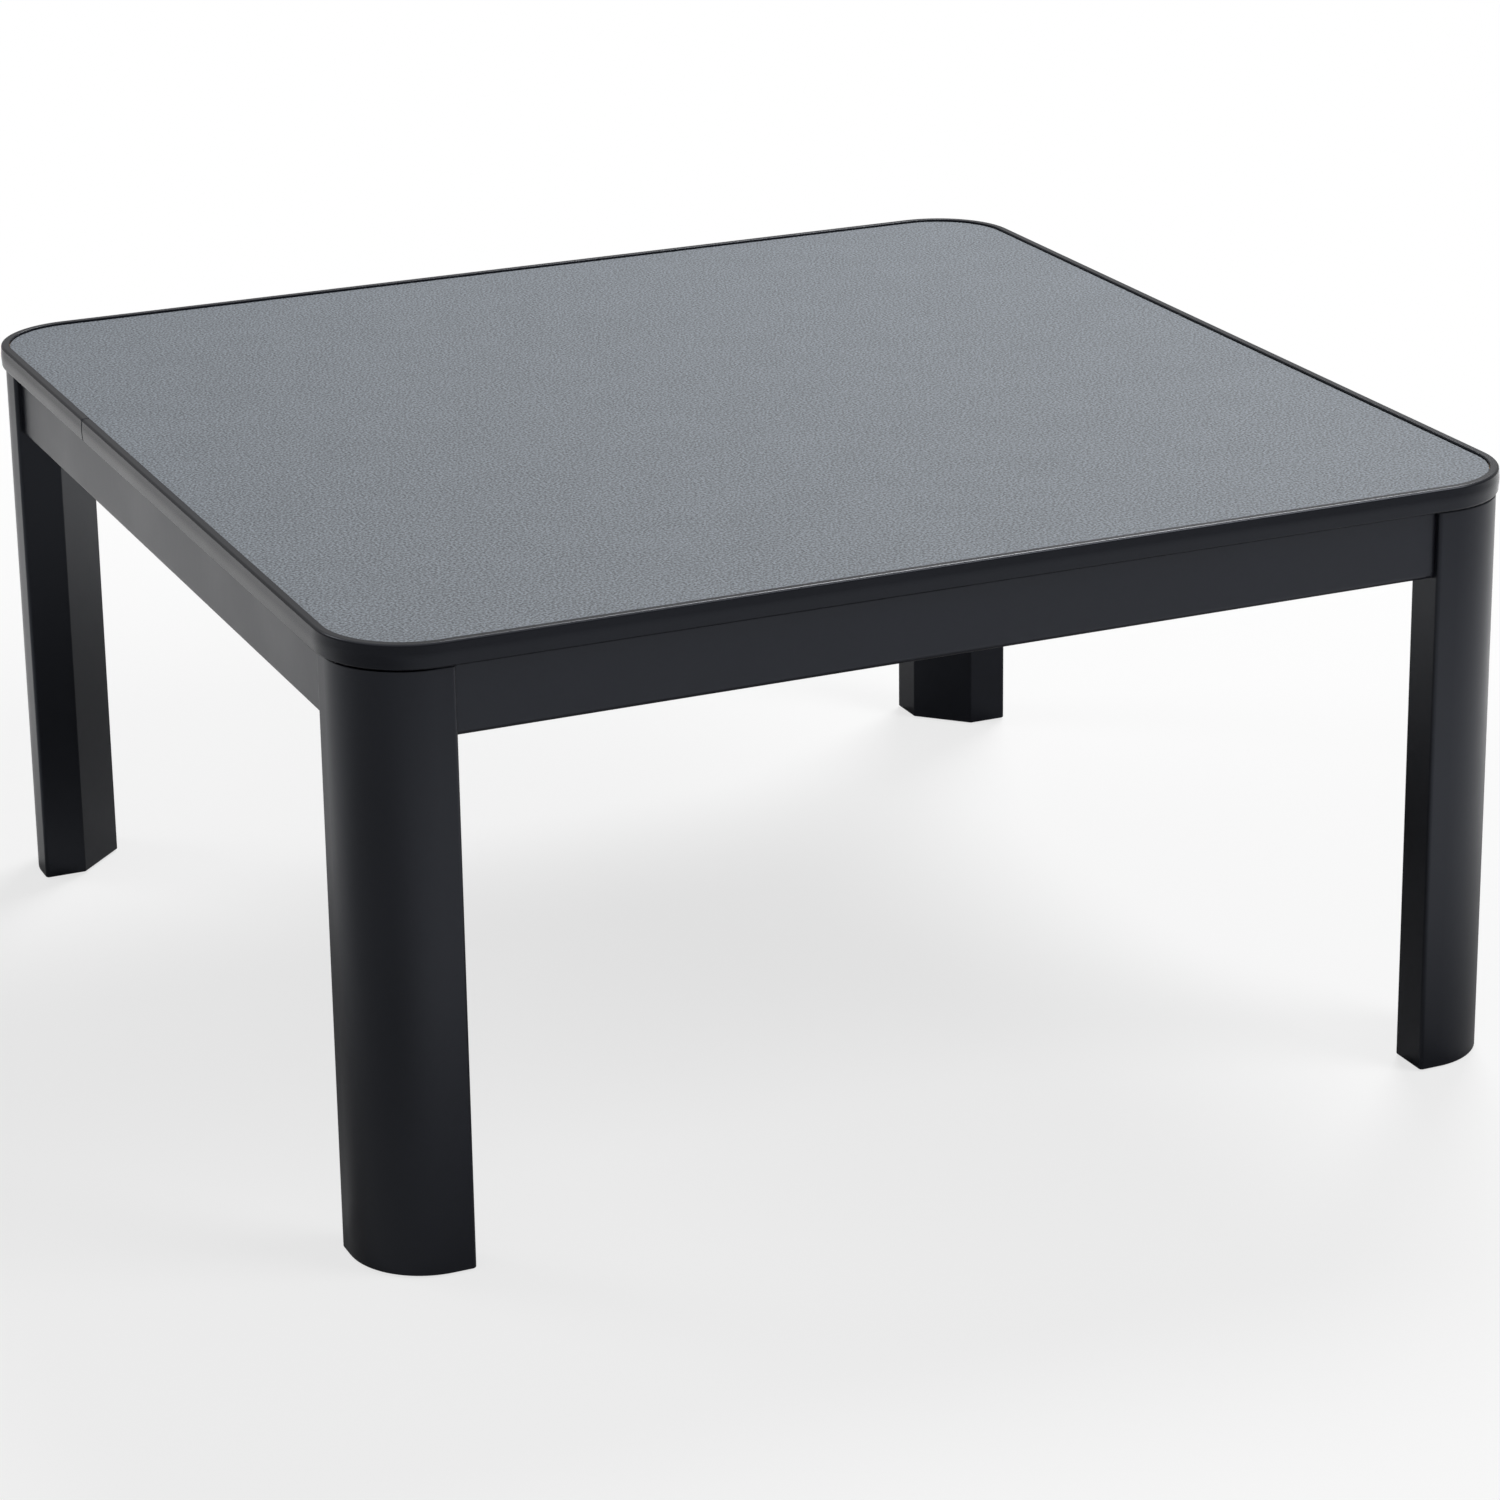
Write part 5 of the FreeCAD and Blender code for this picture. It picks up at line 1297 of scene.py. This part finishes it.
# %% The guard
GUARD_SHEET = 0.8 * MM
GUARD_SQUARE = 110.0 * MM
GUARD_MOUTH = 118.0 * MM
GUARD_CENTRE = 84.0 * MM
GUARD_BEND = 3.0 * MM
GUARD_LIP_BEND = 1.5 * MM
GUARD_FLAT_EDGE = 3.5 * MM
GUARD_TURNING = np.array([0, 5.5, 8.5, 13.0]) * MM
PAN_LEAD = 0.5 * MM
INLET_SIDE = 1
HOLE_HALF = 4.5 * MM
HOLE_PITCH = 13.0 * MM
HOLE_REACH = 7
SLOT_HALF = 2.5 * MM
SLOT_PITCH = 18.0 * MM
SLOT_REACH = 4
SLOT_LOW = 9.0 * MM
SLOT_HIGH = 22.0 * MM
NOTCH_HALF = 17.2 * MM
NOTCH_NEAR = 127.8 * MM
LEAD_NOTCH_HALF = 9.4 * MM
LEAD_NOTCH_RISE = 16.9 * MM
guard_low, guard_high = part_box("heater_guard")
LIP_HALF = guard_high.x


def hole_edges(pitch, half, reach):
    """Both edges of each hole on one side, from the middle one outwards."""
    places = np.arange(reach + 1) * pitch
    return np.concatenate([places + half, places - half])


def near_pitch(values, pitch, half, reach):
    """True where a value lies within half of one of the places pitch * (-reach .. reach)."""
    nearest = pitch * np.round(values / pitch)
    return (np.abs(values - nearest) < half) & (np.abs(values) < reach * pitch + half)


def guard_parts():
    """Pan that opens upwards, with its holes, its slots on three sides and its notch on the fourth."""
    floor_z, lip_z = guard_low.z, guard_high.z - GUARD_SHEET
    slope = (GUARD_MOUTH - GUARD_SQUARE) / (guard_high.z - guard_low.z)
    foot = GUARD_SQUARE + slope * (lip_z - floor_z)
    corners = [
        (GUARD_SQUARE - GUARD_FLAT_EDGE, floor_z, 0),
        (GUARD_SQUARE, floor_z, GUARD_BEND),
        (foot, lip_z, GUARD_LIP_BEND),
        (LIP_HALF, lip_z, 0),
    ]
    stops = [(1, floor_z + rise) for rise in (SLOT_LOW, SLOT_HIGH, LEAD_NOTCH_RISE)]
    line = rounded_line(corners, closed=False, steps=6, lead=PAN_LEAD)
    profile = with_stops(line, [*stops, (0, NOTCH_NEAR)])
    holes = hole_edges(HOLE_PITCH, HOLE_HALF, HOLE_REACH)
    slots = hole_edges(SLOT_PITCH, SLOT_HALF, SLOT_REACH)
    lines = plan_lines(holes, slots, NOTCH_HALF, LEAD_NOTCH_HALF, GUARD_TURNING + GUARD_CENTRE)
    cell = middles(lines)
    open_line = near_pitch(cell, HOLE_PITCH, HOLE_HALF, HOLE_REACH)
    along, side = np.tile(cell, 4), np.repeat(np.arange(4), len(cell))
    points = profile[0]
    half, height = np.concatenate([points[:1], middles(points)]).T[:, :, None]
    rise = height - floor_z
    in_slot = near_pitch(along, SLOT_PITCH, SLOT_HALF, SLOT_REACH)
    slotted = in_slot & (rise > SLOT_LOW) & (rise < SLOT_HIGH)
    lip_notch = (np.abs(along) < NOTCH_HALF) & (half > NOTCH_NEAR)
    lead_notch = (np.abs(along) < LEAD_NOTCH_HALF) & (rise > LEAD_NOTCH_RISE)
    open_rings = np.where(side == INLET_SIDE, lip_notch | lead_notch, slotted)
    knots = ([GUARD_SQUARE, LIP_HALF], [GUARD_CENTRE, GUARD_CENTRE + LIP_HALF - GUARD_SQUARE])
    open_cells = np.logical_and.outer(open_line, open_line)
    return pan_parts(lines, GUARD_CENTRE, profile, knots, -GUARD_SHEET, open_cells, open_rings)


finish_piece("pressed_guard", guard_parts(), "frame", "guard_paint", ["heater_guard"])

# %% [markdown]
# The reflector is a shallow dish without holes. The casing stands above it, and it has five vents, a
# raised bead that stiffens its top, and a tab turned down at the back that holds the inlet.

# %% Reflector and casing
REFLECTOR_SHEET = 0.8 * MM
REFLECTOR_FLAT = 94.0 * MM
REFLECTOR_MOUTH = 118.0 * MM
REFLECTOR_TOP_CENTRE = 82.0 * MM
REFLECTOR_LIP_CENTRE = 94.0 * MM
REFLECTOR_LINES = np.array([0, 20, 40, 60]) * MM
REFLECTOR_TURNING = np.linspace(0, 4, 6) * MM
CASING_SHEET = 1.0 * MM
CASING_HALF = 120.0 * MM
CASING_CENTRE = 98.0 * MM
CASING_EDGE = 3.0 * MM
CASING_TURNING = np.linspace(0, 9, 7) * MM
BEAD_MIDDLE = 84.0 * MM
BEAD_HALF = 6.0 * MM
BEAD_RISE = 1.5 * MM
BEAD_TURN = 8.0 * MM
BEAD_SINK = 0.4 * MM
BEAD_ROUND = 1.4 * MM
VENT_HALF = 2.0 * MM
VENT_PITCH = 12.0 * MM
VENT_REACH = 2
VENT_LENGTH = 36.0 * MM
TAB_HALF = 27.0 * MM
TAB_HOLE_HIGH = 9.2 * MM
TAB_SINK = 0.3 * MM
reflector_low, reflector_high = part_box("reflector")
casing_low, casing_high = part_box("heater_casing")
inlet_low, inlet_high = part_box("inlet_housing")
CASING_TOP = casing_high.z - BEAD_RISE
FLANGE_TOP = guard_high.z + REFLECTOR_SHEET + CASING_SHEET


def no_openings(lines, profile):
    """Masks of a pan without holes: for the cells of its field and for its rings."""
    cells = len(lines) - 1
    return np.zeros((cells, cells), bool), np.zeros((len(profile[0]), 4 * cells), bool)


def reflector_parts():
    """Pan that opens downwards, its corner radius growing towards the mouth."""
    top, lip = reflector_high.z, guard_high.z + REFLECTOR_SHEET
    slope = (REFLECTOR_MOUTH - REFLECTOR_FLAT) / (top - guard_high.z)
    foot = REFLECTOR_FLAT + slope * (top - lip)
    corners = [
        (REFLECTOR_FLAT - 2 * MM, top, 0),
        (REFLECTOR_FLAT, top, 4 * MM),
        (foot, lip, 3 * MM),
        (LIP_HALF, lip, 0),
    ]
    profile = rounded_line(corners, closed=False, steps=5, lead=PAN_LEAD)
    lines = plan_lines(REFLECTOR_LINES, REFLECTOR_TURNING + REFLECTOR_TOP_CENTRE)
    lip_centre = REFLECTOR_LIP_CENTRE + LIP_HALF - REFLECTOR_MOUTH
    halves = [REFLECTOR_FLAT, REFLECTOR_MOUTH, LIP_HALF]
    knots = (halves, [REFLECTOR_TOP_CENTRE, REFLECTOR_LIP_CENTRE, lip_centre])
    openings = no_openings(lines, profile)
    return pan_parts(lines, REFLECTOR_TOP_CENTRE, profile, knots, REFLECTOR_SHEET, *openings)


def bead_parts():
    """Raised square ring on the casing's top, its section a low bar with round upper edges."""
    box = box_corners(-BEAD_HALF, BEAD_HALF, CASING_TOP - BEAD_SINK, casing_high.z)
    rounds = (0.1 * MM, 0.1 * MM, BEAD_ROUND, BEAD_ROUND)
    corners = [(*corner, radius) for corner, radius in zip(box, rounds)]
    section, _ = rounded_line(corners, steps=5, lead=0.1 * MM)
    feet, ways = square_way(BEAD_MIDDLE, BEAD_TURN, steps=8)
    return hoop(carried(section, feet, ways, BEAD_TURN))


def tab_parts():
    """Plate at the back edge with the inlet's opening, sunk into the flange."""
    middle = (inlet_low.z + inlet_high.z) / 2
    lines_x = np.array([-TAB_HALF, -NOTCH_HALF, NOTCH_HALF, TAB_HALF])
    hole = (middle - TAB_HOLE_HIGH, middle + TAB_HOLE_HIGH)
    lines_z = np.array([casing_low.z, *hole, FLANGE_TOP - TAB_SINK])
    flat_x, flat_z = np.meshgrid(lines_x, lines_z, indexing="ij")
    outer = np.stack([flat_x, np.full_like(flat_x, casing_high.y), flat_z], axis=2).reshape(-1, 3)
    middle_face = 4
    faces = np.delete(np.array(grid_faces(4, 4)), middle_face, axis=0)
    return sheet_parts(outer, outer - (0, CASING_SHEET, 0), faces)


def casing_parts():
    """Deep pan that opens downwards, its vents across the middle, with the bead and the tab."""
    corners = [
        (CASING_HALF - 7 * MM, CASING_TOP, 0),
        (CASING_HALF, CASING_TOP, CASING_EDGE),
        (CASING_HALF, FLANGE_TOP, 1.5 * MM),
        (casing_high.x, FLANGE_TOP, 0),
    ]
    profile = rounded_line(corners, closed=False, steps=6, lead=PAN_LEAD)
    vents = hole_edges(VENT_PITCH, VENT_HALF, VENT_REACH)
    lines = plan_lines(vents, VENT_LENGTH / 2, CASING_HALF / 2, CASING_TURNING + CASING_CENTRE)
    cell = middles(lines)
    across = near_pitch(cell, VENT_PITCH, VENT_HALF, VENT_REACH)
    _, closed_rings = no_openings(lines, profile)
    open_cells = np.logical_and.outer(across, np.abs(cell) < VENT_LENGTH / 2)
    knots = ([CASING_HALF, casing_high.x], [CASING_CENTRE, CASING_CENTRE + casing_high.x - CASING_HALF])
    pan = pan_parts(lines, CASING_CENTRE, profile, knots, CASING_SHEET, open_cells, closed_rings)
    return joined([pan, bead_parts(), tab_parts()])


finish_piece("pressed_reflector", reflector_parts(), "frame", "reflector_metal", ["reflector"])
finish_piece("pressed_casing", casing_parts(), "frame", "casing_steel", ["heater_casing"])

# %% The heater's screws
UPRIGHT_SCREWS = {
    "heater_screws": ((2.0 * MM, 15 * MM), 142.5 * MM, 100 * MM, FLANGE_TOP - CASING_SHEET),
    "guard_screws": ((1.5 * MM, 5 * MM), 127.5 * MM, 80 * MM, guard_high.z - GUARD_SHEET),
}


def upright_screws(size, place, half, seat):
    """Four screws driven upwards at (+-place, +-half)."""
    spots = [(x * place, y * half) for x in (-1, 1) for y in (-1, 1)]
    return joined([screw_parts(*size, (x, y, seat), (0, 0, 1), 0.4 + 31 * x + 17 * y) for x, y in spots])


for node, values in UPRIGHT_SCREWS.items():
    finish_piece(f"slotted_{node}", upright_screws(*values), "frame", SLOTS[node], [node])

# %% [markdown]
# ## Quartz tube and winding
#
# The tube is bent like a hairpin: two legs and a half-round bow. Its wall is one closed surface that
# runs along the outside and comes back along the inside. The winding is a helix round the same line:
# at distance s the phase is 2 pi s / pitch, and
# point = line(s) + (R + w cos a) * radial + w sin a * ahead, with coil radius R and wire radius w.

# %% The heating element
TUBE_BEND = 55.0 * MM
TUBE_WALL = 1.1 * MM
COIL_PITCH = 1.6 * MM
WIRE_RADIUS = 0.28 * MM
WIRE_CREASE = 80
tube_low, tube_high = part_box("quartz_tube")
coil_low, coil_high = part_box("heating_winding")
TUBE_RADIUS = tube_high.y - TUBE_BEND
TUBE_HEIGHT = (tube_low.z + tube_high.z) / 2
COIL_RADIUS = coil_high.y - TUBE_BEND - WIRE_RADIUS


def hairpin_line(steps=72):
    """Plan points of the line and their outward directions: leg, half circle, leg."""
    angles = np.linspace(-math.pi / 2, math.pi / 2, steps)
    ways = np.stack([np.cos(angles), np.sin(angles)], axis=1)
    bow = np.array([tube_high.x - TUBE_RADIUS - TUBE_BEND, 0]) + TUBE_BEND * ways
    ends = np.array([[tube_low.x, -TUBE_BEND], [tube_low.x, TUBE_BEND]])
    return np.concatenate([ends[:1], bow, ends[1:]]), np.concatenate([ways[:1], ways, ways[-1:]])


def tube_rows(radius, steps=32):
    """A circle of that radius, square to the line, at each of its points."""
    line, ways = hairpin_line()
    angles = np.linspace(0, 2 * np.pi, steps, endpoint=False)
    flat = line[:, None] + radius * np.cos(angles)[None, :, None] * ways[:, None]
    height = TUBE_HEIGHT + radius * np.sin(angles)
    upright = np.broadcast_to(height[None, :, None], (*flat.shape[:2], 1))
    return np.concatenate([flat, upright], axis=2)


def tube_parts():
    """Rows along the outside and back along the inside. Where they meet, they close the ends."""
    return hoop(np.concatenate([tube_rows(TUBE_RADIUS), tube_rows(TUBE_RADIUS - TUBE_WALL)[::-1]]))


def at_distance(distance, run, values, height):
    """Plan values between the line's points, with a height added as the third number."""
    flat = [np.interp(distance, run, values[:, axis]) for axis in (0, 1)]
    return np.stack([*flat, np.full(len(distance), height)], axis=1)


def coil_parts(around=12, sides=6):
    """The helix of the formula above, its pitch evened out to a whole number of turns."""
    line, ways = hairpin_line()
    run = np.concatenate([[0], np.cumsum(np.linalg.norm(np.diff(line, axis=0), axis=1))])
    turns = round(run[-1] / COIL_PITCH)
    distance = np.linspace(0, run[-1], turns * around + 1)
    centre = at_distance(distance, run, line, TUBE_HEIGHT)
    outward = unit(at_distance(distance, run, ways, 0.0))
    ahead = np.stack([-outward[:, 1], outward[:, 0], outward[:, 2]], axis=1)
    phase = 2 * np.pi * distance[:, None] / (run[-1] / turns)
    radial = np.cos(phase) * outward + np.sin(phase) * UP
    angles = np.linspace(0, 2 * np.pi, sides, endpoint=False)[None, :, None]
    rows = centre[:, None] + (COIL_RADIUS + WIRE_RADIUS * np.cos(angles)) * radial[:, None]
    return prism_parts(rows + WIRE_RADIUS * np.sin(angles) * ahead[:, None])


tube, coil = tube_parts(), coil_parts()
finish_piece("bent_quartz_tube", tube, "frame", "quartz", ["quartz_tube"], crease=ROUND_CREASE)
finish_piece("wound_coil", coil, "frame", "resistance_wire", ["heating_winding"], crease=WIRE_CREASE)

# %% [markdown]
# ## Glides and pads
#
# Both are small discs turned from a profile. The glides carry a nail that goes up into the leg.

# %% Glides and pads
GLIDE_RADIUS = 12.0 * MM
GLIDE_THICK = 3.0 * MM
NAIL_RADIUS = 1.2 * MM
PAD_RADIUS = 10.0 * MM


def disc_set(node, radius, corners):
    """The profile of the node's height, turned round the upright line through each disc's centre."""
    low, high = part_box(node)
    profile, _ = rounded_line(corners(high.z - low.z), steps=5, lead=0.1 * MM)
    centre = (high.x - radius, high.y - radius, low.z)
    return ring_of_four(turned_parts(profile, centre, (0, 0, 1), steps=56))


def glide_corners(height):
    """Disc with a rounded foot, and the nail above it with a pointed end."""
    return [
        (0, 0, 0),
        (GLIDE_RADIUS, 0, 0.9 * MM),
        (GLIDE_RADIUS, GLIDE_THICK, 0.2 * MM),
        (NAIL_RADIUS, GLIDE_THICK, 0.1 * MM),
        (NAIL_RADIUS, height - MM, 0.1 * MM),
        (0, height, 0),
    ]


def pad_corners(height):
    """Plain disc with rounded edges."""
    return [(0, 0, 0), (PAD_RADIUS, 0, 0.3 * MM), (PAD_RADIUS, height, 0.4 * MM), (0, height, 0)]


glides = disc_set("foot_glides", GLIDE_RADIUS, glide_corners)
pads = disc_set("rest_pads", PAD_RADIUS, pad_corners)
finish_piece("round_glides", glides, "frame", SLOTS["foot_glides"], ["foot_glides"])
finish_piece("round_pads", pads, "frame", SLOTS["rest_pads"], ["rest_pads"])

# %% Finishes of the model's own nodes
OWN_FINISHES = {
    "cross_rail_front": "cross_rail_wood",
    "cross_rail_back": "cross_rail_wood",
}


def dress_nodes():
    """Puts its slot's finish, or one of its own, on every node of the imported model."""
    for node, shape in frame["nodes"].items():
        material = FINISHES[OWN_FINISHES.get(node, SLOTS[node])]
        shape.data.materials.clear()
        shape.data.materials.append(material)


dress_nodes()
